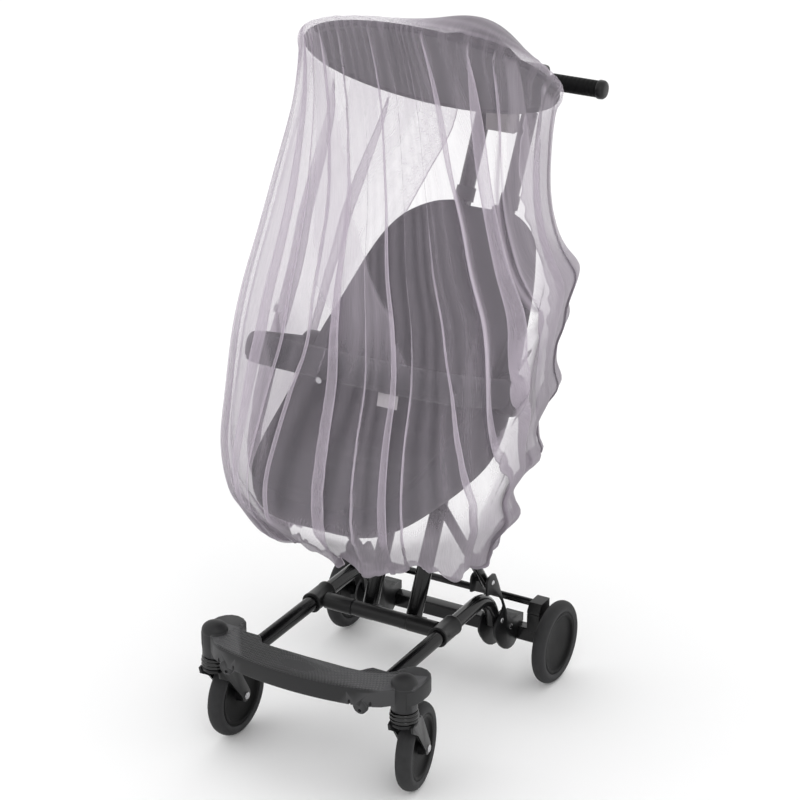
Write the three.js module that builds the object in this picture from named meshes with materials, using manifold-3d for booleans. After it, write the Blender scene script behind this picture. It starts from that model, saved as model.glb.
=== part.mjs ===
// A light three-section stroller with a mosquito net draped over its hood and seat.
// Millimetres, +Z up, the front towards -Y, the floor at Z = 0 under the middle of the whole.
import * as THREE from 'three';
import { mergeVertices } from 'three/addons/utils/BufferGeometryUtils.js';
import Module from 'manifold-3d';

const wasm = await Module();
wasm.setup();

// Driving dimensions
const GAP = 0.3;
const MIDDLE_X = -5.4;
const MIDDLE_Y = 89;
const CASTER_X = 181;
const CASTER_Y = -233;
const WHEEL_RADIUS = 75;
const TYRE_WIDTH = 30;
const TYRE_INNER = 57;
const REAR_TYRE_WIDTH = 26;
const WHEEL_SIDES = 24;
const CASTER_TRAIL = 58;
const LEFT_SWIVEL = 0;
const RIGHT_SWIVEL = THREE.MathUtils.degToRad(10.5);
const DECK_BOTTOM = 190;
const DECK_TOP = 221;
const HOUSING_RADIUS = 22;
const HOUSING_BOTTOM = 177;
const DOME_TOP = 239;
const RAIL_X = 124;
const RAIL_RADIUS = 13;
const COLLAR_Y = 5;
const COLLAR_Z = 188;
const CROSS_RADIUS = 10;
const SLEEVE_RADIUS = 13.2;
const SLEEVE_HALF = 54;
const SOCKET_RADIUS = 14.2;
const AXLE_Y = 252;
const AXLE_Z = 80;
const AXLE_HALF = 194.7;
const REAR_WHEEL_X = 209;
const BRAKE_ROD_Z = 141;
const BRAKE_ROD_HALF = 163;
const PIN_Y = 142;
const PIN_Z = 224;
const MAST_X = 43;
const MAST_RADIUS = 14;
const MAST_FOOT = { y: 42, z: 180 };
const MAST_TOP = { y: 436, z: 957 };
const HANDLE_Y = 437;
const HANDLE_Z = 1030;
const HANDLE_HALF = 187;
const HOOD = { x: -12, y: 197, z: 1099, halfWidth: 206, halfDepth: 215, pitch: 0.6, roll: 0.083 };
const HOOD_RIM_RADIUS = 6;
const HOOD_CROWN = { x: 120, y: 104, rise: 32, reach: 54 };
const GUARD = { jointY: 102, jointZ: 601, frontY: -140, frontZ: 702, halfWidth: 192 };
const NET_THICKNESS = 1.2;
const NET_COLUMNS = 64;
const NET_ROWS = 19;

// Materials
const tubeBlack = { color: 0x17181a, roughness: 0.35, metalness: 0.4 };
const plasticBlack = { color: 0x2a2b2d, roughness: 0.6, metalness: 0 };
const tyreGrey = { color: 0x3a3b3d, roughness: 0.8, metalness: 0 };
const steelGrey = { color: 0xb9bbbd, roughness: 0.3, metalness: 1 };
const fabricGrey = { color: 0x4b4b50, roughness: 0.95, metalness: 0 };
const netLilac = { color: 0xe6dfe8, roughness: 0.9, metalness: 0 };
const tagWhite = { color: 0xd9d9dc, roughness: 0.9, metalness: 0 };

const stroller = new THREE.Group();
const chassis = new THREE.Group();
chassis.position.set(-MIDDLE_X, -MIDDLE_Y, 0);
stroller.add(chassis);

// One named mesh in a parent group
function addPiece(name, geometry, look, parent = chassis) {
  const mesh = new THREE.Mesh(geometry, new THREE.MeshStandardMaterial(look));
  mesh.name = name;
  parent.add(mesh);
  return mesh;
}

// Joining and cutting
function toSolid(geometry) {
  const bare = geometry.clone();
  bare.deleteAttribute('normal');
  bare.deleteAttribute('uv');
  const merged = mergeVertices(bare, 1e-4);
  const vertProperties = new Float32Array(merged.attributes.position.array);
  const triVerts = new Uint32Array(merged.index.array);
  return new wasm.Manifold(new wasm.Mesh({ numProp: 3, vertProperties, triVerts }));
}

function toGeometry(solid) {
  const mesh = solid.getMesh();
  const geometry = new THREE.BufferGeometry();
  geometry.setAttribute('position', new THREE.BufferAttribute(new Float32Array(mesh.vertProperties), 3));
  geometry.setIndex(new THREE.BufferAttribute(new Uint32Array(mesh.triVerts), 1));
  geometry.computeVertexNormals();
  return geometry;
}

function join(geometries, cuts = []) {
  let solid = toSolid(geometries[0]);
  for (const geometry of geometries.slice(1)) {
    solid = solid.add(toSolid(geometry));
  }
  for (const cut of cuts) {
    solid = solid.subtract(toSolid(cut));
  }
  return toGeometry(solid);
}

// A round bar between two points
function bar(from, to, radius, sides = 14) {
  const start = new THREE.Vector3(...from);
  const end = new THREE.Vector3(...to);
  const along = end.clone().sub(start);
  const geometry = new THREE.CylinderGeometry(radius, radius, along.length(), sides);
  const turn = new THREE.Quaternion().setFromUnitVectors(new THREE.Vector3(0, 1, 0), along.normalize());
  geometry.applyQuaternion(turn);
  geometry.translate(...start.add(end).multiplyScalar(0.5).toArray());
  return geometry;
}

// A turned piece: profile of [radius, height] pairs about the X, Y or Z axis
function turned(profile, axis, centre, sides = 24) {
  const points = profile.map(([radius, height]) => new THREE.Vector2(radius, height));
  const geometry = new THREE.LatheGeometry(points, sides);
  if (axis === 'x') geometry.rotateZ(-Math.PI / 2);
  if (axis === 'z') geometry.rotateX(Math.PI / 2);
  geometry.translate(...centre);
  orientOutwards(geometry);
  return geometry;
}

// A bent tube along points
function bentTube(points, radius, steps, sides = 12) {
  const path = new THREE.CatmullRomCurve3(points.map((point) => new THREE.Vector3(...point)));
  const section = new THREE.Shape();
  section.absarc(0, 0, radius, 0, 2 * Math.PI);
  return new THREE.ExtrudeGeometry(section, { steps, curveSegments: sides / 2, extrudePath: path });
}

// A flat outline in the YZ plane, made into a plate from x = from to x = to
function sidePlate(outline, from, to) {
  const shape = new THREE.Shape(outline.map(([y, z]) => new THREE.Vector2(y, z)));
  const geometry = new THREE.ExtrudeGeometry(shape, { depth: to - from, bevelEnabled: false });
  geometry.rotateY(Math.PI / 2);
  geometry.rotateX(Math.PI / 2);
  geometry.translate(from, 0, 0);
  return geometry;
}

// A closed solid through a row of rings that all have the same number of points
function loft(rings) {
  const count = rings[0].length;
  const positions = rings.flat().flatMap((point) => [point.x, point.y, point.z]);
  const triangles = [];
  for (let k = 0; k < rings.length - 1; k += 1) {
    for (let i = 0; i < count; i += 1) {
      const a = k * count + i;
      const b = k * count + (i + 1) % count;
      triangles.push(a, b, b + count, a, b + count, a + count);
    }
  }
  const last = (rings.length - 1) * count;
  const capShape = (ring) => {
    const flat = flatten(ring);
    return THREE.ShapeUtils.triangulateShape(flat, []);
  };
  for (const [a, b, c] of capShape(rings[0])) triangles.push(a, c, b);
  for (const [a, b, c] of capShape(rings[rings.length - 1])) triangles.push(last + a, last + b, last + c);
  const geometry = new THREE.BufferGeometry();
  geometry.setAttribute('position', new THREE.Float32BufferAttribute(positions, 3));
  geometry.setIndex(triangles);
  orientOutwards(geometry);
  return geometry;
}

// Ring points in the plane that fits them, anticlockwise
function flatten(ring) {
  const normal = new THREE.Vector3();
  ring.forEach((point, i) => {
    const next = ring[(i + 1) % ring.length];
    normal.x += (point.y - next.y) * (point.z + next.z);
    normal.y += (point.z - next.z) * (point.x + next.x);
    normal.z += (point.x - next.x) * (point.y + next.y);
  });
  normal.normalize();
  const side = Math.abs(normal.z) < 0.9 ? new THREE.Vector3(0, 0, 1) : new THREE.Vector3(1, 0, 0);
  const u = side.cross(normal).normalize();
  const v = normal.clone().cross(u);
  return ring.map((point) => new THREE.Vector2(point.dot(u), point.dot(v)));
}

function orientOutwards(geometry) {
  const position = geometry.attributes.position;
  const index = geometry.index.array;
  let volume = 0;
  const [a, b, c] = [new THREE.Vector3(), new THREE.Vector3(), new THREE.Vector3()];
  for (let i = 0; i < index.length; i += 3) {
    a.fromBufferAttribute(position, index[i]);
    b.fromBufferAttribute(position, index[i + 1]);
    c.fromBufferAttribute(position, index[i + 2]);
    volume += a.dot(b.cross(c));
  }
  if (volume < 0) {
    for (let i = 0; i < index.length; i += 3) {
      [index[i + 1], index[i + 2]] = [index[i + 2], index[i + 1]];
    }
  }
  geometry.computeVertexNormals();
}

// Footboard: one moulding of deck, rear lobes, caster housings and strap lugs
function footboard() {
  const half = [
    [0, -298], [60, -295], [120, -286], [160, -270], [176, -252], [196, -250], [206, -232],
    [208, -200], [200, -178], [180, -168], [156, -174], [145, -190], [141, -207], [104, -207],
    [97, -226], [0, -228],
  ];
  const mirrored = half.slice(1, -1).reverse().map(([x, y]) => [-x, y]);
  const outline = new THREE.Shape([...half, ...mirrored].map(([x, y]) => new THREE.Vector2(x, y)));
  const bevel = 2;
  const deck = new THREE.ExtrudeGeometry(outline, {
    depth: DECK_TOP - DECK_BOTTOM - 2 * bevel, bevelThickness: bevel, bevelSize: bevel,
    bevelOffset: -bevel, bevelSegments: 1,
  });
  deck.translate(0, 0, DECK_BOTTOM + bevel);
  const pieces = [deck];
  const cuts = [];
  const dome = [[0, HOUSING_BOTTOM], [HOUSING_RADIUS - 2, HOUSING_BOTTOM], [HOUSING_RADIUS,
    HOUSING_BOTTOM + 3],
    [HOUSING_RADIUS, DECK_TOP + 4], [HOUSING_RADIUS - 2, DECK_TOP + 10], [HOUSING_RADIUS - 7, DECK_TOP + 15],
    [HOUSING_RADIUS - 14, DOME_TOP - 1], [0, DOME_TOP]];
  const lugX = 127;
  for (const side of [-1, 1]) {
    pieces.push(turned(dome, 'z', [side * CASTER_X, CASTER_Y, 0], 20));
    pieces.push(turned([[0, -4], [13, -4], [13, 4], [0, 4]], 'y', [side * lugX, -279, DECK_BOTTOM], 12));
    cuts.push(turned([[0, -9], [3, -9], [3, 9], [0, 9]], 'y', [side * lugX, -279, DECK_BOTTOM - 7], 8));
  }
  return join(pieces, cuts);
}

// Tyre and solid disc of a wheel whose axle runs along X at its own origin
function tyre(width) {
  const edge = width / 2;
  const profile = [[TYRE_INNER, -edge + 4], [62, -edge], [69, -edge], [WHEEL_RADIUS - 2, -edge + 4],
    [WHEEL_RADIUS, -edge + 9], [WHEEL_RADIUS, edge - 9], [WHEEL_RADIUS - 2, edge - 4], [69, edge], [62, edge],
    [TYRE_INNER, edge - 4], [TYRE_INNER, -edge + 4]];
  return turned(profile, 'x', [0, 0, 0], WHEEL_SIDES);
}

function wheelDisc(width, hubLow, hubHigh) {
  const edge = width / 2 - 5;
  const rim = TYRE_INNER - GAP;
  const profile = [[0, -hubLow], [9, -hubLow], [12, -edge + 2], [46, -edge + 2], [50, -edge], [rim, -edge],
    [rim, edge], [50, edge], [46, edge - 2], [12, edge - 2], [9, hubHigh], [0, hubHigh]];
  return turned(profile, 'x', [0, 0, 0], WHEEL_SIDES);
}

// Fork of a caster in its own frame: swivel axis at the origin, wheel trailing towards +Y
function casterFork() {
  const legInner = TYRE_WIDTH / 2 + 2.5;
  const legThickness = 4;
  const crownTop = HOUSING_BOTTOM - 20.3;
  const crownBottom = WHEEL_RADIUS * 2 + 1;
  const crown = turned([[0, crownBottom], [legInner + legThickness + 2, crownBottom],
    [legInner + legThickness + 2, crownTop], [0, crownTop]], 'z', [0, 0, 0], 24);
  const outline = [[-22, crownTop], [24, crownTop], [38, 138], [CASTER_TRAIL + 11, WHEEL_RADIUS + 3],
    [CASTER_TRAIL + 8, WHEEL_RADIUS - 8], [CASTER_TRAIL, WHEEL_RADIUS - 11], [CASTER_TRAIL - 8,
    WHEEL_RADIUS - 8],
    [CASTER_TRAIL - 12, WHEEL_RADIUS], [6, 128], [-16, 140]];
  const legs = [-1, 1].map((side) => {
    const inner = side * legInner;
    const outer = side * (legInner + legThickness);
    return sidePlate(outline, Math.min(inner, outer), Math.max(inner, outer));
  });
  return join([crown, ...legs]);
}

function addCaster(side, label, swivel) {
  const caster = new THREE.Group();
  caster.position.set(side * CASTER_X, CASTER_Y, 0);
  caster.rotation.z = swivel;
  chassis.add(caster);
  const top = HOUSING_BOTTOM - GAP;
  const rings = [[0, top], [18, top], [23, top - 2], [24.5, top - 5], [23, top - 8.5], [24.5, top - 12],
    [24, top - 17], [20, top - 19.4], [0, top - 19.4]];
  addPiece(`caster_bearing_${label}`, turned(rings, 'z', [0, 0, 0], 20), tubeBlack, caster);
  addPiece(`caster_fork_${label}`, casterFork(), plasticBlack, caster);
  const wheel = new THREE.Group();
  wheel.position.set(0, CASTER_TRAIL, WHEEL_RADIUS);
  caster.add(wheel);
  addPiece(`front_tyre_${label}`, tyre(TYRE_WIDTH), tyreGrey, wheel);
  const hub = TYRE_WIDTH / 2 + 2.2;
  addPiece(`front_disc_${label}`, wheelDisc(TYRE_WIDTH, hub, hub), plasticBlack, wheel);
  for (const face of [-1, 1]) {
    const reach = face * (TYRE_WIDTH / 2 + 6.5 + GAP);
    const head = [[0, 0], [6.5, 0], [6.5, face * 2], [4, face * 3.5], [0, face * 3.5]];
    addPiece(`caster_bolt_${label}_${face > 0 ? 'right' : 'left'}`,
      turned(head, 'x', [reach, 0, 0], 12), steelGrey, wheel);
  }
}

function addRearWheel(side, label) {
  const wheel = new THREE.Group();
  wheel.position.set(side * REAR_WHEEL_X, AXLE_Y, WHEEL_RADIUS);
  chassis.add(wheel);
  const hubInside = REAR_TYRE_WIDTH / 2 + 1;
  const hubOutside = REAR_TYRE_WIDTH / 2 - 7;
  const [low, high] = side < 0 ? [hubOutside, hubInside] : [hubInside, hubOutside];
  addPiece(`rear_tyre_${label}`, tyre(REAR_TYRE_WIDTH), tyreGrey, wheel);
  addPiece(`rear_disc_${label}`, wheelDisc(REAR_TYRE_WIDTH, low, high), plasticBlack, wheel);
}

// Side rail from the footboard to the axle bracket
function sideRail(side) {
  const route = [[-206.6, 191], [-120, 191], [-40, 190], [50, 190], [105, 189], [140, 184], [163, 168],
    [175, 148],
    [178, 126]];
  return bentTube(route.map(([y, z]) => [side * RAIL_X, y, z]), RAIL_RADIUS, 14);
}

// T-shaped collar: clamps the rail and takes the end of the cross tube
function railCollar(side) {
  const ringHalf = 27;
  const socketEnd = SLEEVE_HALF + 0.5;
  const railZ = COLLAR_Z + 2;
  const clamp = bar([side * RAIL_X, COLLAR_Y - ringHalf, railZ], [side * RAIL_X, COLLAR_Y + ringHalf, railZ],
    RAIL_RADIUS + 4.5, 20);
  const socket = bar([side * RAIL_X, COLLAR_Y, COLLAR_Z], [side * socketEnd, COLLAR_Y, COLLAR_Z],
    SOCKET_RADIUS, 20);
  const railBore = bar([side * RAIL_X, COLLAR_Y - 60, 190.3], [side * RAIL_X, COLLAR_Y + 60, 190.3],
    RAIL_RADIUS + 0.9, 28);
  const crossBore = bar([side * (RAIL_X - 18), COLLAR_Y, COLLAR_Z], [side * (socketEnd - 5), COLLAR_Y,
    COLLAR_Z],
    CROSS_RADIUS + GAP, 20);
  return join([clamp, socket], [railBore, crossBore]);
}

// Cross tube with the sleeve that carries the masts
function addCrossTube() {
  const end = RAIL_X - 18.5;
  addPiece('cross_tube', bar([-end, COLLAR_Y, COLLAR_Z], [end, COLLAR_Y, COLLAR_Z], CROSS_RADIUS, 20),
    tubeBlack);
  const half = SLEEVE_HALF;
  const bore = CROSS_RADIUS + 0.45;
  const profile = [[bore, -half], [SLEEVE_RADIUS, -half], [SLEEVE_RADIUS, half], [bore, half], [bore, -half]];
  addPiece('cross_sleeve', turned(profile, 'x', [0, COLLAR_Y, COLLAR_Z], 20), plasticBlack);
}

// Masts: the two tubes that lean back from the cross tube to the handle
const mastLean = new THREE.Vector2(MAST_TOP.y - MAST_FOOT.y, MAST_TOP.z - MAST_FOOT.z).normalize();

function mastY(z) {
  return MAST_FOOT.y + (z - MAST_FOOT.z) * mastLean.x / mastLean.y;
}

function addMast(side, label) {
  const footZ = 181;
  const topZ = 969.3;
  const foot = [side * MAST_X, mastY(footZ), footZ];
  const top = [side * MAST_X, mastY(topZ), topZ];
  addPiece(`mast_${label}`, bar(foot, top, MAST_RADIUS, 18), tubeBlack);
  const lugFoot = new THREE.BoxGeometry(34, 39.5, 11.4);
  lugFoot.translate(side * MAST_X, 38.25, 168.6);
  const lugTongue = new THREE.BoxGeometry(22, 10, 24);
  lugTongue.translate(side * (MAST_X - 4), 23.5, 175);
  addPiece(`mast_lug_${label}`, join([lugFoot, lugTongue]), plasticBlack);
  const clipAt = (z, radius) => bar([side * MAST_X, mastY(z - 11), z - 11], [side * MAST_X, mastY(z + 11),
    z + 11],
    radius, 20);
  const bore = bar(foot, top, MAST_RADIUS + 0.45, 20);
  const tongue = new THREE.BoxGeometry(16, 12, 12);
  tongue.translate(side * 32, 348.3, 818.5);
  const clip = join([clipAt(828, MAST_RADIUS + 3), tongue], [bore]);
  addPiece(`seat_clip_${label}`, clip, plasticBlack);
}

// Head block on the masts, with the handle bar through it and the plate that holds the hood
function addHandle() {
  const headHalf = 66;
  const headFront = 421;
  const headBack = 476;
  const head = new THREE.BoxGeometry(2 * headHalf, headBack - headFront, 72);
  head.translate(0, (headFront + headBack) / 2, 1012);
  addPiece('mast_head', head, plasticBlack);
  const plate = new THREE.BoxGeometry(2 * (MAST_X - MAST_RADIUS) - 1, 21.5, 42);
  plate.translate(0, 423.3, 954.6);
  addPiece('mast_bridge', plate, { color: 0x8f8d8b, roughness: 0.6, metalness: 0.1 });
  for (const [side, label] of [[-1, 'left'], [1, 'right']]) {
    const inner = side * (headHalf + GAP);
    const gripStart = side * (headHalf + 20);
    const capStart = side * (HANDLE_HALF - 14);
    const along = (from, to, radius) => bar([from, HANDLE_Y, HANDLE_Z], [to, HANDLE_Y, HANDLE_Z], radius, 20);
    addPiece(`handle_tube_${label}`, along(inner, gripStart - side * GAP, 11), tubeBlack);
    addPiece(`handle_grip_${label}`, along(gripStart, capStart, 14.5), plasticBlack);
    const cap = [[0, 0], [16, 0], [16.5, 4], [16, 10], [12, 14], [0, 14]].map(([r, h]) => [r, side * h]);
    addPiece(`handle_cap_${label}`, turned(cap, 'x', [capStart + side * GAP, HANDLE_Y, HANDLE_Z], 20),
      plasticBlack);
  }
}

// Channel on the end of a rail: two plates beside the rail, cut round its bend, a web behind it that stands
// on the axle, and a pin for the strut
function axleBracket(side) {
  const outline = [[124, 232], [132, 238], [152, 238], [166, 212], [184, 172], [200, 140], [222, 118],
    [239.7, 110], [239.7, 76], [232, 66], [218, 62], [200, 66], [178, 82], [160, 104], [153, 122], [160, 136],
    [178, 146], [187, 158], [174, 180], [156, 194], [136, 203], [124, 206]];
  const inner = RAIL_RADIUS + GAP;
  const plates = [[RAIL_X - inner - 4, RAIL_X - inner], [RAIL_X + inner, RAIL_X + inner + 4]]
    .map((faces) => faces.map((face) => side * face))
    .map((faces) => sidePlate(outline, Math.min(...faces), Math.max(...faces)));
  const web = new THREE.BoxGeometry(2 * inner + 6, 34, 8);
  web.translate(side * RAIL_X, 222, 114);
  const foot = new THREE.BoxGeometry(2 * inner + 6, 26, 16.7);
  foot.translate(side * RAIL_X, 251, 93.3 + 16.7 / 2);
  const pin = bar([side * (RAIL_X - inner - 2), PIN_Y, PIN_Z], [side * (RAIL_X + inner + 2), PIN_Y, PIN_Z],
    4, 12);
  return join([...plates, web, foot, pin]);
}

// Rear axle, its brackets, struts, brake blocks and brake rod
function addRearFrame() {
  const axle = new THREE.BoxGeometry(2 * AXLE_HALF, 24, 26);
  axle.translate(0, AXLE_Y, AXLE_Z);
  addPiece('rear_axle', axle, plasticBlack);
  const axleTop = AXLE_Z + 13 + GAP;
  const rod = bar([-BRAKE_ROD_HALF, AXLE_Y, BRAKE_ROD_Z], [BRAKE_ROD_HALF, AXLE_Y, BRAKE_ROD_Z], 6.5, 14);
  addPiece('brake_rod', rod, tubeBlack);
  for (const [side, label] of [[-1, 'left'], [1, 'right']]) {
    addPiece(`axle_bracket_${label}`, axleBracket(side), plasticBlack);
    const block = new THREE.BoxGeometry(24, 40, 54);
    block.translate(side * (BRAKE_ROD_HALF + GAP + 12), AXLE_Y, axleTop + 27);
    addPiece(`brake_block_${label}`, block, plasticBlack);
    const strut = bar([side * RAIL_X, 149.8, 214.6], [side * RAIL_X, -8.3, 428.7], 8.7, 12);
    const hole = bar([side * 100, PIN_Y, PIN_Z], [side * 148, PIN_Y, PIN_Z], 4 + GAP, 12);
    addPiece(`seat_strut_${label}`, join([strut], [hole]), tubeBlack);
  }
}

// Seat: a deep padded tub whose rim slopes from the head down to the foot
const SEAT_STATIONS = [
  { y: 342, halfWidth: 34, rim: 825, inside: 817, outside: 803 },
  { y: 330, halfWidth: 84, rim: 818, inside: 802, outside: 779 },
  { y: 305, halfWidth: 124, rim: 799, inside: 765, outside: 731 },
  { y: 272, halfWidth: 145, rim: 774, inside: 706, outside: 666 },
  { y: 232, halfWidth: 156, rim: 743, inside: 632, outside: 588 },
  { y: 190, halfWidth: 164, rim: 707, inside: 556, outside: 508 },
  { y: 150, halfWidth: 170, rim: 674, inside: 502, outside: 442 },
  { y: 108, halfWidth: 174, rim: 645, inside: 480, outside: 423 },
  { y: 40, halfWidth: 172, rim: 602, inside: 474, outside: 420 },
  { y: -40, halfWidth: 163, rim: 566, inside: 488, outside: 420 },
  { y: -120, halfWidth: 152, rim: 534, inside: 498, outside: 425 },
  { y: -180, halfWidth: 134, rim: 511, inside: 494, outside: 434 },
  { y: -206, halfWidth: 108, rim: 501, inside: 489, outside: 442 },
  { y: -218, halfWidth: 70, rim: 496, inside: 487, outside: 452 },
];

function seatRing({ y, halfWidth, rim, inside, outside }) {
  const wall = Math.min(14, halfWidth * 0.2);
  const steps = 10;
  const bowl = (width, bottom, k) => {
    const angle = Math.PI * k / steps;
    const across = Math.sign(Math.cos(angle)) * Math.abs(Math.cos(angle)) ** 0.45;
    const down = Math.sin(angle) ** 0.6;
    return new THREE.Vector3(-width * across, y, rim - (rim - bottom) * down);
  };
  const outer = Array.from({ length: steps + 1 }, (_, k) => bowl(halfWidth, outside, k));
  const inner = Array.from({ length: steps + 1 }, (_, k) => bowl(halfWidth - wall, inside, steps - k));
  return [...outer, ...inner];
}

// Guard bar: a padded U with an oval section, pivoted on two round covers
const guardTilt = Math.atan2(GUARD.frontZ - GUARD.jointZ, GUARD.jointY - GUARD.frontY);

function guardPoint(x, forward, up = 0) {
  const y = GUARD.jointY - forward * Math.cos(guardTilt) + up * Math.sin(guardTilt);
  const z = GUARD.jointZ + forward * Math.sin(guardTilt) + up * Math.cos(guardTilt);
  return new THREE.Vector3(x, y, z);
}

function guardBar() {
  const reach = Math.hypot(GUARD.frontZ - GUARD.jointZ, GUARD.jointY - GUARD.frontY);
  const corner = 74;
  const path = new THREE.CatmullRomCurve3([[-GUARD.halfWidth, 36], [-GUARD.halfWidth, reach - corner - 40],
    [-GUARD.halfWidth + 5, reach - corner], [-GUARD.halfWidth + 26, reach - 26],
    [-GUARD.halfWidth + corner, reach - 4],
    [0, reach + 8], [GUARD.halfWidth - corner, reach - 4], [GUARD.halfWidth - 26, reach - 26],
    [GUARD.halfWidth - 5, reach - corner], [GUARD.halfWidth, reach - corner - 40], [GUARD.halfWidth, 36]]
    .map(([x, forward]) => new THREE.Vector3(x, forward, 0)));
  const steps = 26;
  const sides = 10;
  const rings = [];
  for (let k = 0; k <= steps; k += 1) {
    const centre = path.getPointAt(k / steps);
    const along = path.getTangentAt(k / steps);
    const ring = [];
    for (let i = 0; i < sides; i += 1) {
      const angle = 2 * Math.PI * i / sides;
      const across = 13.5 * Math.cos(angle);
      ring.push(guardPoint(centre.x + along.y * across, centre.y - along.x * across, 25 * Math.sin(angle)));
    }
    rings.push(ring);
  }
  return loft(rings);
}

function addGuard() {
  addPiece('guard_bar', guardBar(), fabricGrey);
  for (const [side, label] of [[-1, 'left'], [1, 'right']]) {
    const cover = [[0, 0], [33, 0], [35.5, 3], [35.5, 25], [32, 30], [0, 32]].map(([r, h]) => [r, side * h]);
    addPiece(`guard_joint_${label}`,
      turned(cover, 'x', [side * 174.3, GUARD.jointY, GUARD.jointZ], 26), plasticBlack);
  }
  const tag = new THREE.BoxGeometry(42, 1.2, 26);
  tag.rotateX(-0.25);
  tag.translate(101, -148.5, 665.5);
  addPiece('bar_tag', tag, tagWhite);
}

// Hood: a round fabric shade on a hoop, front edge raised
function hoodPoint(x, y, above) {
  const z = HOOD.z - HOOD.pitch * (y - HOOD.y) + HOOD.roll * (x - HOOD.x);
  const slope = Math.hypot(1, HOOD.pitch, HOOD.roll);
  return new THREE.Vector3(x - above * HOOD.roll / slope, y + above * HOOD.pitch / slope, z + above / slope);
}

// How far the soft crown bulges above the hood's plane
function crownRise(x, y) {
  return HOOD_CROWN.rise * bell(Math.hypot(x - HOOD_CROWN.x, y - HOOD_CROWN.y), HOOD_CROWN.reach);
}

function hood() {
  const sides = 36;
  const rim = HOOD_RIM_RADIUS;
  const rows = [[0.55, -2], [0.955, -2], [0.972, -rim + 1], [1.0, 0], [0.985, rim], [0.955, 3], [0.85,
    4.5], [0.72, 6],
    [0.5, 8.5]];
  const positions = [];
  const triangles = [];
  for (const [scale, above] of rows) {
    for (let i = 0; i < sides; i += 1) {
      const angle = 2 * Math.PI * i / sides;
      const x = HOOD.x + HOOD.halfWidth * scale * Math.cos(angle);
      const y = HOOD.y + HOOD.halfDepth * scale * Math.sin(angle);
      const onCrown = above > rim || (above > 3 && scale < 0.95);
      const point = hoodPoint(x, y, above + (onCrown ? crownRise(x, y) : 0));
      positions.push(point.x, point.y, point.z);
    }
  }
  const bottom = positions.length / 3;
  const underside = hoodPoint(HOOD.x, HOOD.y, -2);
  const crown = hoodPoint(HOOD.x, HOOD.y, 10 + crownRise(HOOD.x, HOOD.y));
  positions.push(underside.x, underside.y, underside.z, crown.x, crown.y, crown.z);
  for (let i = 0; i < sides; i += 1) {
    const next = (i + 1) % sides;
    triangles.push(bottom, next, i);
    const last = (rows.length - 1) * sides;
    triangles.push(bottom + 1, last + i, last + next);
    for (let k = 0; k < rows.length - 1; k += 1) {
      const a = k * sides + i;
      const b = k * sides + next;
      triangles.push(a, b, b + sides, a, b + sides, a + sides);
    }
  }
  const geometry = new THREE.BufferGeometry();
  geometry.setAttribute('position', new THREE.Float32BufferAttribute(positions, 3));
  geometry.setIndex(triangles);
  orientOutwards(geometry);
  return geometry;
}

// Net: rings from the top hem over the hood, down round the seat to the bottom hem.
// angle 0 is the front, the slot is the open part at the back on each side of the masts
const NET_RING_SIZES = ['z', 'tilt', 'x', 'left', 'right', 'y', 'front', 'back', 'square', 'slotL', 'slotR'];
const NET_RINGS = [
  [1000, 22, -10, 68, 62, 388, 38, 14, 2.0, 84, 84],
  [1050, 64, -10, 128, 124, 310, 100, 98, 2.0, 45, 44],
  [1094, 96, -11, 176, 172, 240, 160, 170, 2.0, 29, 28],
  [1113, 122, -12, 204, 201, 200, 206, 209, 2.0, 22, 21],
  [1101, 132, -12, 215, 209, 197, 222, 222, 2.0, 19, 19],
  [1076, 124, -11, 216, 197, 197, 222, 220, 2.0, 19, 18],
  [1010, 92, -8, 223, 189, 190, 225, 213, 2.1, 20, 18],
  [920, 62, -8, 237, 197, 168, 236, 216, 2.2, 24, 19],
  [830, 38, -6, 246, 220, 138, 253, 226, 2.35, 29, 23],
  [760, 24, -4, 248, 241, 112, 264, 247, 2.6, 34, 27],
  [690, 12, -2, 246, 238, 78, 260, 259, 2.8, 40, 34],
  [610, 4, -2, 238, 233, 40, 261, 268, 2.7, 47, 42],
  [530, 0, -4, 231, 230, 10, 257, 266, 2.6, 54, 49],
  [460, 1, -4, 222, 219, -8, 236, 240, 2.4, 60, 56],
  [408, 24, -2, 206, 207, -14, 213, 212, 2.2, 64, 62],
  [347, 55, 2, 182, 185, -14, 185, 180, 2.1, 68, 68],
  [337, 55, 8, 152, 158, -14, 160, 146, 2.0, 70, 72],
];

// Main folds: angle at the hood and at the hem in degrees, width in degrees, height of the ridge in mm,
// and the part of the drop (0 top hem, 1 bottom hem) over which it shows
const NET_FOLDS = [
  { top: -150, hem: -118, width: 8, height: 12, from: 0.24, to: 1.0 },
  { top: -128, hem: -104, width: 6, height: 10, from: 0.24, to: 0.9 },
  { top: -108, hem: -90, width: 7, height: 12, from: 0.26, to: 1.0 },
  { top: -90, hem: -72, width: 6, height: 10, from: 0.26, to: 1.0 },
  { top: -74, hem: -50, width: 7, height: 14, from: 0.25, to: 1.0 },
  { top: -52, hem: -30, width: 6, height: 12, from: 0.26, to: 1.0 },
  { top: -30, hem: -8, width: 7, height: 12, from: 0.28, to: 1.0 },
  { top: -8, hem: 6, width: 6, height: 10, from: 0.3, to: 1.0 },
  { top: 14, hem: 22, width: 6, height: 10, from: 0.27, to: 1.0 },
  { top: 34, hem: 40, width: 8, height: 16, from: 0.26, to: 1.0 },
  { top: 56, hem: 62, width: 7, height: 14, from: 0.26, to: 1.0 },
  { top: 78, hem: 84, width: 8, height: 16, from: 0.26, to: 1.0 },
  { top: 102, hem: 104, width: 7, height: 14, from: 0.26, to: 1.0 },
  { top: 126, hem: 120, width: 7, height: 12, from: 0.3, to: 1.0 },
];

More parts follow.
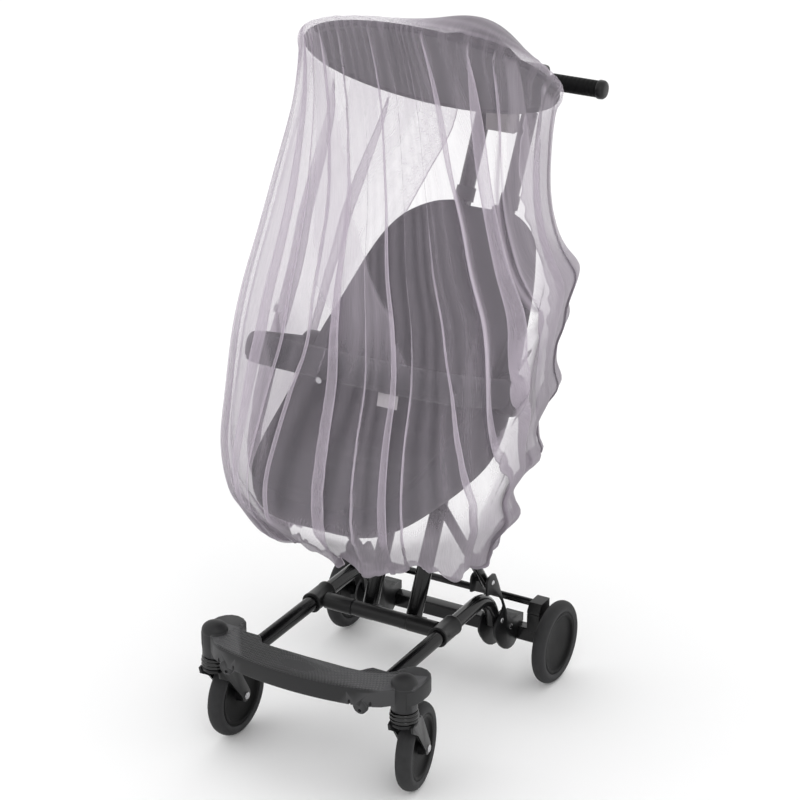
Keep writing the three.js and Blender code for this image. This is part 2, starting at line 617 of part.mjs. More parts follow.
// Puffs of loose cloth: place, reach in angle and drop, swell outwards and upwards in mm
const NET_PUFFS = [
  { angle: 50, span: 24, drop: 0.15, height: 0.07, out: 0, up: 33 },
  { angle: 118, span: 26, drop: 0.53, height: 0.045, out: 16, up: 0 },
  { angle: 122, span: 24, drop: 0.7, height: 0.035, out: 14, up: 0 },
  { angle: 116, span: 24, drop: 0.785, height: 0.03, out: 16, up: 0 },
  { angle: 106, span: 20, drop: 0.87, height: 0.03, out: 18, up: 0 },
  { angle: 62, span: 22, drop: 0.965, height: 0.035, out: 18, up: 0 },
  { angle: 22, span: 20, drop: 0.97, height: 0.035, out: 20, up: 0 },
];

function catmull(a, b, c, d, t) {
  return 0.5 * (2 * b + (c - a) * t + (2 * a - 5 * b + 4 * c - d) * t * t
    + (3 * b - a - 3 * c + d) * t * t * t);
}

function netRingAt(drop) {
  const place = drop * (NET_RINGS.length - 1);
  const k = Math.min(Math.floor(place), NET_RINGS.length - 2);
  const pick = (i) => NET_RINGS[Math.min(Math.max(i, 0), NET_RINGS.length - 1)];
  const ring = {};
  NET_RING_SIZES.forEach((size, n) => {
    ring[size] = catmull(pick(k - 1)[n], pick(k)[n], pick(k + 1)[n], pick(k + 2)[n], place - k);
  });
  return ring;
}

function bell(distance, width) {
  return Math.exp(-((distance / width) ** 2));
}

function netSwell(angle, drop) {
  let out = 0;
  for (const fold of NET_FOLDS) {
    const centre = fold.top + (fold.hem - fold.top) * drop;
    const grown = THREE.MathUtils.smoothstep(drop, fold.from, fold.from + 0.3);
    const faded = 1 - 0.6 * THREE.MathUtils.smoothstep(drop, fold.to - 0.08, fold.to + 0.02);
    const ridge = bell(angle - centre, fold.width) - 0.45 * bell(angle - centre, 2 * fold.width);
    out += fold.height * grown * faded * ridge;
  }
  let up = 0;
  for (const puff of NET_PUFFS) {
    const share = bell(angle - puff.angle, puff.span) * bell(drop - puff.drop, puff.height);
    out += puff.out * share;
    up += puff.up * share;
  }
  return { out, up };
}

function netPoint(across, drop) {
  const ring = netRingAt(drop);
  const angle = THREE.MathUtils.lerp(ring.slotL - 180, 180 - ring.slotR, across);
  const turn = THREE.MathUtils.degToRad(angle);
  const power = 2 / ring.square;
  const sideways = Math.sign(Math.sin(turn)) * Math.abs(Math.sin(turn)) ** power;
  const forwards = Math.sign(Math.cos(turn)) * Math.abs(Math.cos(turn)) ** power;
  const { out, up } = netSwell(angle, drop);
  const width = (angle < 0 ? ring.left : ring.right) + out;
  const depth = (Math.abs(angle) < 90 ? ring.front : ring.back) + out;
  const y = ring.y - depth * forwards;
  const roll = HOOD.roll * (1 - THREE.MathUtils.smoothstep(drop, 0.25, 0.6));
  return new THREE.Vector3(ring.x + width * sideways, y,
    ring.z + ring.tilt * forwards + roll * width * sideways + up);
}

function net() {
  const points = [];
  for (let j = 0; j <= NET_ROWS; j += 1) {
    for (let i = 0; i <= NET_COLUMNS; i += 1) {
      points.push(netPoint(i / NET_COLUMNS, j / NET_ROWS));
    }
  }
  const row = NET_COLUMNS + 1;
  const grid = (i, j) => points[j * row + i];
  const inner = points.map((point, n) => {
    const i = n % row;
    const j = Math.floor(n / row);
    const east = grid(Math.min(i + 1, NET_COLUMNS), j).clone().sub(grid(Math.max(i - 1, 0), j));
    const south = grid(i, Math.min(j + 1, NET_ROWS)).clone().sub(grid(i, Math.max(j - 1, 0)));
    return point.clone().addScaledVector(east.cross(south).normalize(), NET_THICKNESS);
  });
  const positions = [...points, ...inner].flatMap((point) => [point.x, point.y, point.z]);
  const triangles = [];
  const layer = points.length;
  for (let j = 0; j < NET_ROWS; j += 1) {
    for (let i = 0; i < NET_COLUMNS; i += 1) {
      const a = j * row + i;
      triangles.push(a, a + 1, a + row + 1, a, a + row + 1, a + row);
      triangles.push(layer + a, layer + a + row + 1, layer + a + 1, layer + a, layer + a + row,
        layer + a + row + 1);
    }
  }
  const edge = [];
  for (let i = 0; i < NET_COLUMNS; i += 1) edge.push(i);
  for (let j = 0; j < NET_ROWS; j += 1) edge.push(j * row + NET_COLUMNS);
  for (let i = NET_COLUMNS; i > 0; i -= 1) edge.push(NET_ROWS * row + i);
  for (let j = NET_ROWS; j > 0; j -= 1) edge.push(j * row);
  edge.forEach((a, n) => {
    const b = edge[(n + 1) % edge.length];
    triangles.push(b, a, layer + a, b, layer + a, layer + b);
  });
  const geometry = new THREE.BufferGeometry();
  geometry.setAttribute('position', new THREE.Float32BufferAttribute(positions, 3));
  geometry.setIndex(triangles);
  orientOutwards(geometry);
  return geometry;
}

// The whole
addPiece('footboard', footboard(), plasticBlack);
addCaster(-1, 'left', LEFT_SWIVEL);
addCaster(1, 'right', RIGHT_SWIVEL);
addRearWheel(-1, 'left');
addRearWheel(1, 'right');
for (const [side, label] of [[-1, 'left'], [1, 'right']]) {
  addPiece(`side_rail_${label}`, sideRail(side), tubeBlack);
  addPiece(`rail_collar_${label}`, railCollar(side), plasticBlack);
  addMast(side, label);
}
addCrossTube();
addRearFrame();
addHandle();
addPiece('seat', loft(SEAT_STATIONS.map(seatRing)), fabricGrey);
addGuard();
addPiece('hood', hood(), fabricGrey);
addPiece('net', net(), netLilac);

export default stroller;
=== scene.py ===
"""A light stroller under a sheer mosquito net, built piece by piece around its frame."""

import math

import bpy
import numpy as np
from mathutils import Matrix, Vector


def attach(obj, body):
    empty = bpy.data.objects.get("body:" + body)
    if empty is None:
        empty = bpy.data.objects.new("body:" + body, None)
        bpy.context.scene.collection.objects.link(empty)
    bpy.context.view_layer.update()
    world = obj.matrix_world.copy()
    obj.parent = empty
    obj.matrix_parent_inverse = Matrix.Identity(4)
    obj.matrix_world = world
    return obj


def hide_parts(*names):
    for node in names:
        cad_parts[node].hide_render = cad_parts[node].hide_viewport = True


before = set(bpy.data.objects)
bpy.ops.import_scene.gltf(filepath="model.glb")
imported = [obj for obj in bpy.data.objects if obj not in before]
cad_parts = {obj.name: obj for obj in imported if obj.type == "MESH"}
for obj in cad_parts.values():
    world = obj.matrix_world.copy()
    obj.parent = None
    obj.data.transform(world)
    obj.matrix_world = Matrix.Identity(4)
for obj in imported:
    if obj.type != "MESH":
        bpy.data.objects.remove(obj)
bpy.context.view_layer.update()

# Studio
# A white floor under an even white sky with three soft boxes, and a long lens at the photograph's
# viewing angle, a little above the hood and off to the stroller's front right.
SHIFT_X, SHIFT_Y = 5.4, -89.0


def at(x, y, z):
    """The frame's place, in metres, of a point in the stroller's own millimetres"""
    return Vector(((x + SHIFT_X) / 1000, (y + SHIFT_Y) / 1000, z / 1000))


def finish(name, colour, roughness, metallic=0.0, sheen=0.0, gloss=0.25):
    """A new material and its shader"""
    material = bpy.data.materials.new(name)
    material.use_nodes = True
    shader = material.node_tree.nodes["Principled BSDF"]
    shader.inputs["Base Color"].default_value = (*colour, 1)
    shader.inputs["Roughness"].default_value = roughness
    shader.inputs["Metallic"].default_value = metallic
    shader.inputs["Sheen Weight"].default_value = sheen
    shader.inputs["Specular IOR Level"].default_value = gloss
    return material, shader


FLOOR_SIZE = 14.0
SKY_STRENGTH = 1.08
bpy.ops.object.select_all(action="DESELECT")
bpy.ops.mesh.primitive_plane_add(size=FLOOR_SIZE, location=(0, 0, -0.0005))
floor = bpy.context.object
floor.name = "floor"
floor_paint, _ = finish("white_floor", (0.95, 0.95, 0.95), 0.9)
floor.data.materials.append(floor_paint)

sky = bpy.data.worlds.new("even_sky")
sky.use_nodes = True
sky.node_tree.nodes["Background"].inputs["Color"].default_value = (1, 1, 1, 1)
sky.node_tree.nodes["Background"].inputs["Strength"].default_value = SKY_STRENGTH
bpy.context.scene.world = sky
bpy.context.scene.view_settings.view_transform = "Standard"

for name, place, size, power in (
    ("key_box", (2.2, -2.6, 3.2), 1.0, 13),
    ("left_box", (-2.8, -1.6, 2.2), 1.2, 5),
    ("back_box", (-0.6, 2.8, 2.6), 1.6, 7),
):
    bpy.ops.object.light_add(type="AREA", location=place)
    lamp = bpy.context.object
    lamp.name = name
    lamp.data.size = size
    lamp.data.energy = power
    lamp.rotation_euler = (Vector((0, 0, 0.6)) - Vector(place)).to_track_quat("-Z", "Y").to_euler()

CAMERA_TURN = math.radians(29.795)
CAMERA_TILT = math.radians(23.632)
CAMERA_PLACE = (2003, -3429, 2327)
LENS_MM = 118.8
SENSOR_MM = 36
bpy.ops.object.camera_add(location=at(*CAMERA_PLACE), rotation=(math.pi / 2 - CAMERA_TILT, 0, CAMERA_TURN))
camera = bpy.context.object
camera.data.lens = LENS_MM
camera.data.sensor_width = SENSOR_MM
bpy.context.scene.camera = camera

# Footboard
# One charcoal moulding between the front wheels: a bowed deck with a ribbed tread, a domed housing
# over each caster, a rear lobe on each side and two strap lugs under the front edge.


def add_node(material, kind, inputs=None, **settings):
    """A new node of a material with its settings, each input set to a value or linked to a socket"""
    node = material.node_tree.nodes.new("ShaderNode" + kind)
    for name, value in settings.items():
        setattr(node, name, value)
    for socket, value in (inputs or {}).items():
        if isinstance(value, bpy.types.NodeSocket):
            material.node_tree.links.new(value, node.inputs[socket])
        else:
            node.inputs[socket].default_value = value
    return node


def mottled(name, colour, roughness, metallic=0.0, mottle=0.25, patch=0.02, grain=0.00035, bump=0.25,
            scuff=0.0, gloss=0.25):
    """A hard finish with uneven colour, a fine grain and paler worn edges"""
    material, shader = finish(name, colour, roughness, metallic, gloss=gloss)
    links = material.node_tree.links
    place = add_node(material, "TexCoord").outputs["Object"]
    clouds = add_node(material, "TexNoise", {"Scale": 1 / patch, "Detail": 5, "Vector": place}).outputs["Fac"]
    dark, light = ((*[min(1, c * (1 + share)) for c in colour], 1) for share in (-mottle, mottle))
    blend = add_node(material, "Mix", {"A": dark, "B": light, "Factor": clouds}, data_type="RGBA")
    paint = blend.outputs["Result"]
    if scuff > 0:
        edges = add_node(material, "NewGeometry").outputs["Pointiness"]
        edge_wear_and_painted_top_light = {"From Min": 0.53, "From Max": 0.62, "To Max": scuff, "Value": edges}
        wear = add_node(material, "MapRange", edge_wear_and_painted_top_light)
        pale = (*[min(1, c * 3 + 0.03) for c in colour], 1)
        shades = {"A": paint, "B": pale, "Factor": wear.outputs["Result"]}
        paint = add_node(material, "Mix", shades, data_type="RGBA").outputs["Result"]
    links.new(paint, shader.inputs["Base Color"])
    low, high = roughness * 0.8, min(1, roughness * 1.2)
    rough = add_node(material, "MapRange", {"To Min": low, "To Max": high, "Value": clouds})
    links.new(rough.outputs["Result"], shader.inputs["Roughness"])
    pits = add_node(material, "TexNoise", {"Scale": 1 / grain, "Vector": place})
    relief = add_node(material, "Bump", {"Strength": bump, "Distance": 0.0002, "Height": pits.outputs["Fac"]})
    links.new(relief.outputs["Normal"], shader.inputs["Normal"])
    return material, shader


def take(piece):
    """Selects one piece alone and makes it active"""
    bpy.ops.object.select_all(action="DESELECT")
    piece.select_set(True)
    bpy.context.view_layer.objects.active = piece


def edit_all():
    """Into edit mode with everything selected"""
    bpy.ops.object.mode_set(mode="EDIT")
    bpy.ops.mesh.select_all(action="SELECT")


def face_outwards():
    """Turns every face of the mesh in edit mode outwards, and leaves edit mode"""
    bpy.ops.mesh.select_all(action="SELECT")
    bpy.ops.mesh.normals_make_consistent(inside=False)
    bpy.ops.object.mode_set(mode="OBJECT")


def complete(piece, material, edge=0.0, segments=2, angle=35):
    """Rounds the hard edges, smooths the shading and fixes the piece's place in its mesh"""
    take(piece)
    bpy.ops.object.transform_apply(location=True, rotation=True, scale=True)
    if edge > 0:
        rounding = piece.modifiers.new("rounding", "BEVEL")
        rounding.width = edge
        rounding.segments = segments
        rounding.limit_method = "ANGLE"
        rounding.angle_limit = math.radians(angle)
        bpy.ops.object.modifier_apply(modifier="rounding")
    bpy.ops.object.shade_smooth_by_angle(angle=math.radians(angle))
    piece.data.materials.clear()
    piece.data.materials.append(material)
    return piece


def fix_to_frame(piece, slot, *nodes):
    """The piece moves with the frame, in place of its plain nodes; its slot is not used"""
    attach(piece, "root")
    if nodes:
        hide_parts(*nodes)


def plate(name, outline, depth):
    """A flat plate: a ring of points moved onto the outline, filled and drawn out by depth"""
    bpy.ops.object.select_all(action="DESELECT")
    bpy.ops.mesh.primitive_circle_add(vertices=len(outline), fill_type="NGON")
    piece = bpy.context.object
    piece.name = name
    for vertex, point in zip(piece.data.vertices, outline):
        vertex.co = point
    edit_all()
    bpy.ops.mesh.extrude_region_move(TRANSFORM_OT_translate={"value": depth})
    face_outwards()
    return piece


AXES = {"X": Vector((1, 0, 0)), "Y": Vector((0, 1, 0)), "Z": Vector((0, 0, 1))}


def turned(name, profile, axis, centre, steps=56):
    """A turned piece: its closed profile of (radius, height) in millimetres, spun about an axis"""
    along = AXES[axis]
    across = AXES["Z"] if axis != "Z" else AXES["X"]
    bpy.ops.object.select_all(action="DESELECT")
    bpy.ops.mesh.primitive_circle_add(vertices=len(profile), fill_type="NOTHING")
    piece = bpy.context.object
    piece.name = name
    for vertex, (radius, height) in zip(piece.data.vertices, profile):
        vertex.co = centre + along * height / 1000 + across * radius / 1000
    edit_all()
    bpy.ops.mesh.spin(steps=steps, angle=2 * math.pi, center=centre, axis=along)
    bpy.ops.mesh.select_all(action="SELECT")
    bpy.ops.mesh.remove_doubles(threshold=1e-5)
    bpy.ops.mesh.delete_loose()
    face_outwards()
    return piece


def sided(profile, side):
    """A turned profile drawn towards one side of its axis"""
    return [(radius, side * height) for radius, height in profile]


def combine(piece, tool, operation):
    """Joins a tool shape to the piece or cuts it away"""
    step = piece.modifiers.new("step", "BOOLEAN")
    step.operation = operation
    step.solver = "EXACT"
    step.object = tool
    take(piece)
    bpy.ops.object.modifier_apply(modifier="step")
    bpy.data.objects.remove(tool, do_unlink=True)


CASTER_X, CASTER_Y = 181, -233
DECK_LOW, DECK_HIGH = 190, 221
LUG_X, LUG_Y = 127, -279
NOTCH_APART = 17
front_edge = [(x, -298 + 12.5 * (x / 120) ** 2) for x in np.linspace(0, 120, 9)]
deck_half = front_edge + [
    (142, -279), (160, -270), (176, -254), (196, -250), (204, -240), (208, -222), (208, -200),
    (205, -187), (198, -176), (188, -169), (176, -167), (164, -170), (155, -177), (149, -188),
    (145, -199), (138, -206.5), (108, -206.5), (101, -214), (94, -225), (70, -227), (0, -228)]
deck_outline = deck_half + [(-x, y) for x, y in reversed(deck_half[1:-1])]
footboard = plate("footboard_moulding", [at(x, y, DECK_LOW) for x, y in deck_outline],
                  (0, 0, (DECK_HIGH - DECK_LOW) / 1000))
rim = footboard.modifiers.new("rim", "BEVEL")
rim.width = 0.0045
rim.segments = 4
rim.limit_method = "ANGLE"
rim.angle_limit = math.radians(50)
bpy.ops.object.modifier_apply(modifier="rim")
dome = [(0, 177), (20, 177), (22, 179), (22, 224)] + [
    (22 * math.cos(t), 224 + 15 * math.sin(t)) for t in np.linspace(0.15, 1.45, 9)] + [(0, 239)]
for side in (-1, 1):
    combine(footboard, turned("housing", dome, "Z", at(side * CASTER_X, CASTER_Y, 0)), "UNION")
    lug_line = [(0, -4), (12, -4), (13, -3), (13, 3), (12, 4), (0, 4)]
    lug = turned("lug", lug_line, "Y", at(side * LUG_X, LUG_Y, DECK_LOW), 40)
    combine(footboard, lug, "UNION")
    hole_line = [(0, -12), (3, -12), (3, 12), (0, 12)]
    hole = turned("hole", hole_line, "Y", at(side * LUG_X, LUG_Y, DECK_LOW - 7), 24)
    combine(footboard, hole, "DIFFERENCE")
    for notch_x in (LUG_X - NOTCH_APART, LUG_X + NOTCH_APART):
        notch = [at(side * notch_x + dx, -300, z) for dx, z in
                 ((-2.2, 180), (2.2, 180), (2.2, 198), (1.6, 200.5), (0, 201.5), (-1.6, 200.5), (-2.2, 198))]
        combine(footboard, plate("notch", notch, (0, 0.026, 0)), "DIFFERENCE")
charcoal_grey = (0.019, 0.019, 0.02)
charcoal, shader = mottled("charcoal_moulding", charcoal_grey, 0.5, mottle=0.15, scuff=0.5, gloss=0.3)
parts = add_node(charcoal, "SeparateXYZ", {"Vector": add_node(charcoal, "TexCoord").outputs["Object"]})
deck_x, deck_y, deck_z = (parts.outputs[axis] for axis in "XYZ")


def maths(operation, *values):
    """A Math node of the footboard's finish, on sockets or plain numbers"""
    return add_node(charcoal, "Math", dict(enumerate(values)), operation=operation).outputs[0]


# Ribs run in arcs round a point in front of the deck, crossed by finer ones, and leave an oval bare
RIB_PITCH = 0.0052
CROSS_PITCH = 0.0034
ARC_X, ARC_Y = -0.05, -0.43
TREAD_HALF = 0.158
OVAL_Y, OVAL_WIDE, OVAL_DEEP = -0.3525, 0.032, 0.0135
from_middle = maths("SUBTRACT", deck_x, SHIFT_X / 1000)
sideways = maths("ABSOLUTE", from_middle)
arc_across = maths("SUBTRACT", sideways, ARC_X)
arc_along = maths("SUBTRACT", deck_y, ARC_Y)
reach = maths("SQRT", maths("ADD", maths("POWER", arc_across, 2.0), maths("POWER", arc_along, 2.0)))
ribs = maths("SINE", maths("MULTIPLY", reach, 2 * math.pi / RIB_PITCH))
turn = maths("MULTIPLY", maths("ARCTAN2", arc_along, arc_across), 0.1)
crossing = maths("SINE", maths("MULTIPLY", turn, 2 * math.pi / CROSS_PITCH))
tread = maths("MAXIMUM", maths("MULTIPLY", ribs, 0.9), crossing)
above_sides = maths("GREATER_THAN", deck_z, (DECK_HIGH - 0.6) / 1000)
below_domes = maths("LESS_THAN", deck_z, (DECK_HIGH + 0.6) / 1000)
on_deck = maths("MULTIPLY", above_sides, below_domes)
inside = maths("LESS_THAN", sideways, TREAD_HALF)
oval_across = maths("POWER", maths("DIVIDE", from_middle, OVAL_WIDE), 2.0)
oval_along = maths("POWER", maths("DIVIDE", maths("SUBTRACT", deck_y, OVAL_Y), OVAL_DEEP), 2.0)
off_oval = maths("GREATER_THAN", maths("ADD", oval_across, oval_along), 1.0)
shown = maths("MULTIPLY", on_deck, maths("MULTIPLY", inside, off_oval))
ridges = maths("MULTIPLY", tread, shown)
relief = add_node(charcoal, "Bump", {"Strength": 0.8, "Distance": 0.0009, "Height": ridges})
links = charcoal.node_tree.links
links.new(relief.outputs["Normal"], shader.inputs["Normal"].links[0].from_node.inputs["Normal"])
# The deck's top is painted paler than its sides and the domes: painted light standing in for the light that
# falls on it from above
paint = shader.inputs["Base Color"].links[0].from_socket
painted_top_light = maths("ADD", maths("MULTIPLY", on_deck, 0.7), 0.8)
edge_wear_and_painted_top_light = add_node(charcoal, "VectorMath", {0: paint, "Scale": painted_top_light}, operation="SCALE")
links.new(edge_wear_and_painted_top_light.outputs["Vector"], shader.inputs["Base Color"])
complete(footboard, charcoal, 0.0007, 2, 50)
fix_to_frame(footboard, "black_plastic", "footboard")

# Casters
# Each front wheel trails in a black pressed fork that swivels on a ringed bearing under its housing.
# A grey tyre is moulded onto a charcoal disc, and a bright bolt runs through fork and hub.
SIDES = ((-1, "left"), (1, "right"))
WHEEL_R, TYRE_HALF, TRAIL = 75, 15, 58
pressed_grey = (0.006, 0.006, 0.0065)
black_steel, _ = mottled("black_pressed_steel", pressed_grey, 0.36, mottle=0.2, scuff=0.3, gloss=0.3)
gloss_black, _ = mottled("gloss_black_ring", (0.003, 0.003, 0.003), 0.14, mottle=0.1, bump=0.05, gloss=0.5)
rubber, _ = mottled("grey_tyre", (0.024, 0.024, 0.025), 0.7, mottle=0.45, patch=0.012, bump=0.5, scuff=0.6)
disc_plastic, _ = mottled("charcoal_disc", (0.0035, 0.0035, 0.0037), 0.45, mottle=0.2, patch=0.03, gloss=0.1)
bright_steel, _ = mottled("bright_bolt", (0.5, 0.5, 0.51), 0.25, 1.0, mottle=0.08, gloss=0.5)


def tyre_profile(half):
    """Round-shouldered section of a tyre on its disc"""
    turns = np.linspace(-1.35, 1.35, 15)
    outer = [(WHEEL_R - 11 + 11 * math.cos(t), (half - 1) * math.sin(t)) for t in turns]
    return [(57, -half + 3), (60, -half + 0.6)] + outer + [(60, half - 0.6), (57, half - 3)]


def disc_side(half, hub):
    """One face of a dished disc, with a raised lip and a boss"""
    return [(0, hub), (10, hub), (12, hub - 1), (13, half - 8), (16, half - 9), (44, half - 8),
            (48, half - 6.5), (50, half - 3.5), (53, half - 2.6), (56.7, half - 3.4)]


def swivelled(piece, side, turn):
    """Turns a caster's piece about the housing's axis"""
    take(piece)
    edit_all()
    bpy.ops.transform.rotate(value=-turn, orient_axis="Z", center_override=at(side * CASTER_X, CASTER_Y, 0))
    bpy.ops.object.mode_set(mode="OBJECT")


CASTER_TURNS = (0.0, math.radians(10.5))
for (side, label), turn_angle in zip(SIDES, CASTER_TURNS):
    axis_x = side * CASTER_X
    ring_line = [(0, 157.6), (20, 157.6), (23, 158.6), (24.3, 161), (23.6, 163), (22.2, 164), (23.6, 165.2),
                 (24.5, 167.6), (23.6, 170), (22.2, 171), (23, 172.4), (23.4, 174), (22, 176), (18, 176.7),
                 (0, 176.7)]
    bearing = turned(f"caster_rings_{label}", ring_line, "Z", at(axis_x, CASTER_Y, 0))
    complete(bearing, gloss_black, 0, angle=50)
    fix_to_frame(bearing, "black_plastic", f"caster_bearing_{label}")

    crown = [(0, 151), (22, 151), (23.2, 152), (23.2, 155.4), (22, 156.6), (0, 156.6)]
    fork = turned(f"caster_fork_plate_{label}", crown, "Z", at(axis_x, CASTER_Y, 0))
    for face in (-1, 1):
        leg = [(-20, 155), (-14, 156.4), (20, 156.4), (25, 155), (32, 146), (38, 136),
               (TRAIL + 11, WHEEL_R + 6), (TRAIL + 11.5, WHEEL_R), (TRAIL + 9, WHEEL_R - 7),
               (TRAIL + 3, WHEEL_R - 11), (TRAIL - 4, WHEEL_R - 10.5), (TRAIL - 10, WHEEL_R - 6),
               (TRAIL - 13, WHEEL_R + 3), (8, 126), (-6, 136), (-17, 143)]
        inner = axis_x + face * (TYRE_HALF + 2.5)
        side_plate = plate("leg", [at(inner, CASTER_Y + y, z) for y, z in leg], (face * 0.004, 0, 0))
        combine(fork, side_plate, "UNION")
    swivelled(fork, side, turn_angle)
    complete(fork, black_steel, 0.0009, 2)
    fix_to_frame(fork, "black_plastic", f"caster_fork_{label}")

    hub_place = at(axis_x, CASTER_Y + TRAIL, WHEEL_R)
    tyre = turned(f"caster_tyre_{label}", tyre_profile(TYRE_HALF), "X", hub_place, 72)
    swivelled(tyre, side, turn_angle)
    complete(tyre, rubber, 0, angle=50)
    fix_to_frame(tyre, "tyre", f"front_tyre_{label}")
    hub_side = disc_side(TYRE_HALF, TYRE_HALF + 2.2)
    disc = turned(f"caster_disc_{label}", sided(hub_side, -1) + hub_side[::-1], "X", hub_place, 72)
    swivelled(disc, side, turn_angle)
    complete(disc, disc_plastic, 0.0005, 2)
    fix_to_frame(disc, "black_plastic", f"front_disc_{label}")
    for face, end in SIDES:
        start = face * (TYRE_HALF + 6.8)
        head = [(0, 0), (6.5, 0), (6.5, 1.4), (5.6, 2.4), (3.2, 3.2), (2.4, 3.0), (0, 2.2)]
        head = [(radius, start + height) for radius, height in sided(head, face)]
        bolt = turned(f"caster_bolt_head_{label}_{end}", head, "X", hub_place, 32)
        swivelled(bolt, side, turn_angle)
        complete(bolt, bright_steel, 0, angle=40)
        fix_to_frame(bolt, "bolt_steel", f"caster_bolt_{label}_{end}")

# Rails and cross tube
# Two black steel tubes run back from the footboard and bend down to the axle brackets. A T-shaped collar
# clamps each one and takes the end of a cross tube, whose middle turns in a sleeve.
RAIL_X, RAIL_R = 124, 13
CROSS_R, SLEEVE_HALF = 10, 54
COLLAR_Y, COLLAR_Z = 5, 188
tube_grey, clamp_grey = (0.0035, 0.0035, 0.0038), (0.006, 0.006, 0.0063)
tube_black, _ = mottled("black_tube_paint", tube_grey, 0.2, mottle=0.2, patch=0.05, bump=0.06, gloss=0.35)
dark_plastic, _ = mottled("black_clamp_plastic", clamp_grey, 0.38, mottle=0.2, scuff=0.25, gloss=0.3)


def bent_tube(name, route, radius, material, turns=8):
    """A tube along points in the stroller's millimetres, its ends closed"""
    bpy.ops.object.select_all(action="DESELECT")
    bpy.ops.curve.primitive_nurbs_path_add()
    piece = bpy.context.object
    piece.name = name
    piece.data.splines.clear()
    spline = piece.data.splines.new("POLY")
    spline.points.add(len(route) - 1)
    for point, place in zip(spline.points, route):
        point.co = (*at(*place), 1)
    piece.data.bevel_depth = radius / 1000
    piece.data.bevel_resolution = turns
    piece.data.use_fill_caps = True
    bpy.ops.object.convert(target="MESH")
    edit_all()
    bpy.ops.mesh.remove_doubles(threshold=1e-6)
    face_outwards()
    return complete(bpy.context.object, material, 0.0007, 2)


def straight_tube(name, start, end, radius, material, sides=40, edge=0.0007):
    """A round bar between two points in the stroller's millimetres"""
    start, end = at(*start), at(*end)
    along = end - start
    bpy.ops.object.select_all(action="DESELECT")
    turn = along.to_track_quat("Z", "Y").to_euler()
    bpy.ops.mesh.primitive_cylinder_add(vertices=sides, radius=radius / 1000, depth=along.length,
                                        location=(start + end) / 2, rotation=turn)
    piece = bpy.context.object
    piece.name = name
    return complete(piece, material, edge, 2)


BEND_Y, BEND_Z, BEND_R = 112, 126, 64
RAIL_Z = BEND_Z + BEND_R
for side, label in SIDES:
    rail_x = side * RAIL_X
    route = [(rail_x, -206.6, RAIL_Z)]
    for t in np.linspace(0, math.pi / 2, 15):
        route.append((rail_x, BEND_Y + BEND_R * math.sin(t), BEND_Z + BEND_R * math.cos(t)))
    rail = bent_tube(f"rail_{label}", route, RAIL_R, tube_black)
    fix_to_frame(rail, "black_tube", f"side_rail_{label}")
    half_clamp = [(17.5, 22), (18.1, 23), (18.1, 26), (17.5, 27), (13.4, 27)]
    clamp = sided(half_clamp[::-1], -1) + half_clamp
    collar = turned(f"collar_{label}", clamp, "Y", at(rail_x, COLLAR_Y, RAIL_Z))
    reach = RAIL_X - SLEEVE_HALF - 0.5
    socket = [(10.4, -17), (14.2, -16), (14.2, 0.8 - reach), (13.6, -reach), (10.4, -reach)]
    combine(collar, turned("socket", sided(socket, side), "X", at(rail_x, COLLAR_Y, COLLAR_Z)), "UNION")
    complete(collar, dark_plastic, 0.0006, 2)
    fix_to_frame(collar, "black_plastic", f"rail_collar_{label}")
CROSS_END = RAIL_X - 18.5
cross_ends = [(end, COLLAR_Y, COLLAR_Z) for end in (-CROSS_END, CROSS_END)]
cross = straight_tube("cross_bar", *cross_ends, CROSS_R, tube_black)
fix_to_frame(cross, "black_tube", "cross_tube")
half_sleeve = [(10.4, SLEEVE_HALF), (12.6, SLEEVE_HALF), (13.2, SLEEVE_HALF - 0.7)]
sleeve_line = half_sleeve + sided(half_sleeve[::-1], -1)
sleeve = turned("cross_bar_sleeve", sleeve_line, "X", at(0, COLLAR_Y, COLLAR_Z))
complete(sleeve, dark_plastic, 0, angle=30)
fix_to_frame(sleeve, "black_plastic", "cross_sleeve")

# Rear frame
# A square black axle carries two wheels. Steel channels, riveted round the rail ends, stand on it and hold
# the struts that rise to the seat, and a thin brake rod runs between two blocks beside the wheels.
AXLE_Y, AXLE_Z, AXLE_HALF = 252, 80, 194.5
REAR_X, REAR_TYRE_HALF = 209, 13
FLUSH_SIDE = [(0, 4.2), (12, 4.3), (30, 4.8), (44, 5.2), (48, 6.4), (50, 9.4), (53, 10.4), (56.7, 9.6)]


def block(name, low, high, material, edge=0.0015):
    """A moulded block between two corners in the stroller's millimetres, its edges rounded"""
    low, high = at(*low), at(*high)
    bpy.ops.object.select_all(action="DESELECT")
    bpy.ops.mesh.primitive_cube_add(size=1, location=(low + high) / 2)
    piece = bpy.context.object
    piece.name = name
    piece.scale = high - low
    return complete(piece, material, edge, 3)


axle_low, axle_high = (-AXLE_HALF, AXLE_Y - 12, AXLE_Z - 13), (AXLE_HALF, AXLE_Y + 12, AXLE_Z + 13)
axle = block("axle_beam", axle_low, axle_high, tube_black, 0.003)
fix_to_frame(axle, "black_tube", "rear_axle")
ROD_Z, ROD_HALF = 141, 163
rod = straight_tube("brake_bar", (-ROD_HALF, AXLE_Y, ROD_Z), (ROD_HALF, AXLE_Y, ROD_Z), 6.5, tube_black, 28)
fix_to_frame(rod, "black_tube", "brake_rod")
PIN_Y, PIN_Z = 142, 224
STEEL = 4
CHANNEL = RAIL_R + 0.3
BRAKE_X, BRAKE_HALF = 175.3, 11.9
bracket_line = [
    (124, 230), (126, 235), (131, 238), (146, 239), (152, 237), (156, 231), (166, 212), (184, 172),
    (200, 140), (210, 127), (222, 118), (239.7, 110), (239.7, 76), (237, 69), (228, 63.5), (216, 62.4),
    (204, 65), (190, 72), (176, 84), (162, 102), (155, 114), (154, 124), (160, 136), (170, 142), (181, 148),
    (187, 158), (182, 170), (174, 180), (165, 188), (156, 194), (146, 199.5), (136, 203), (124, 206)]
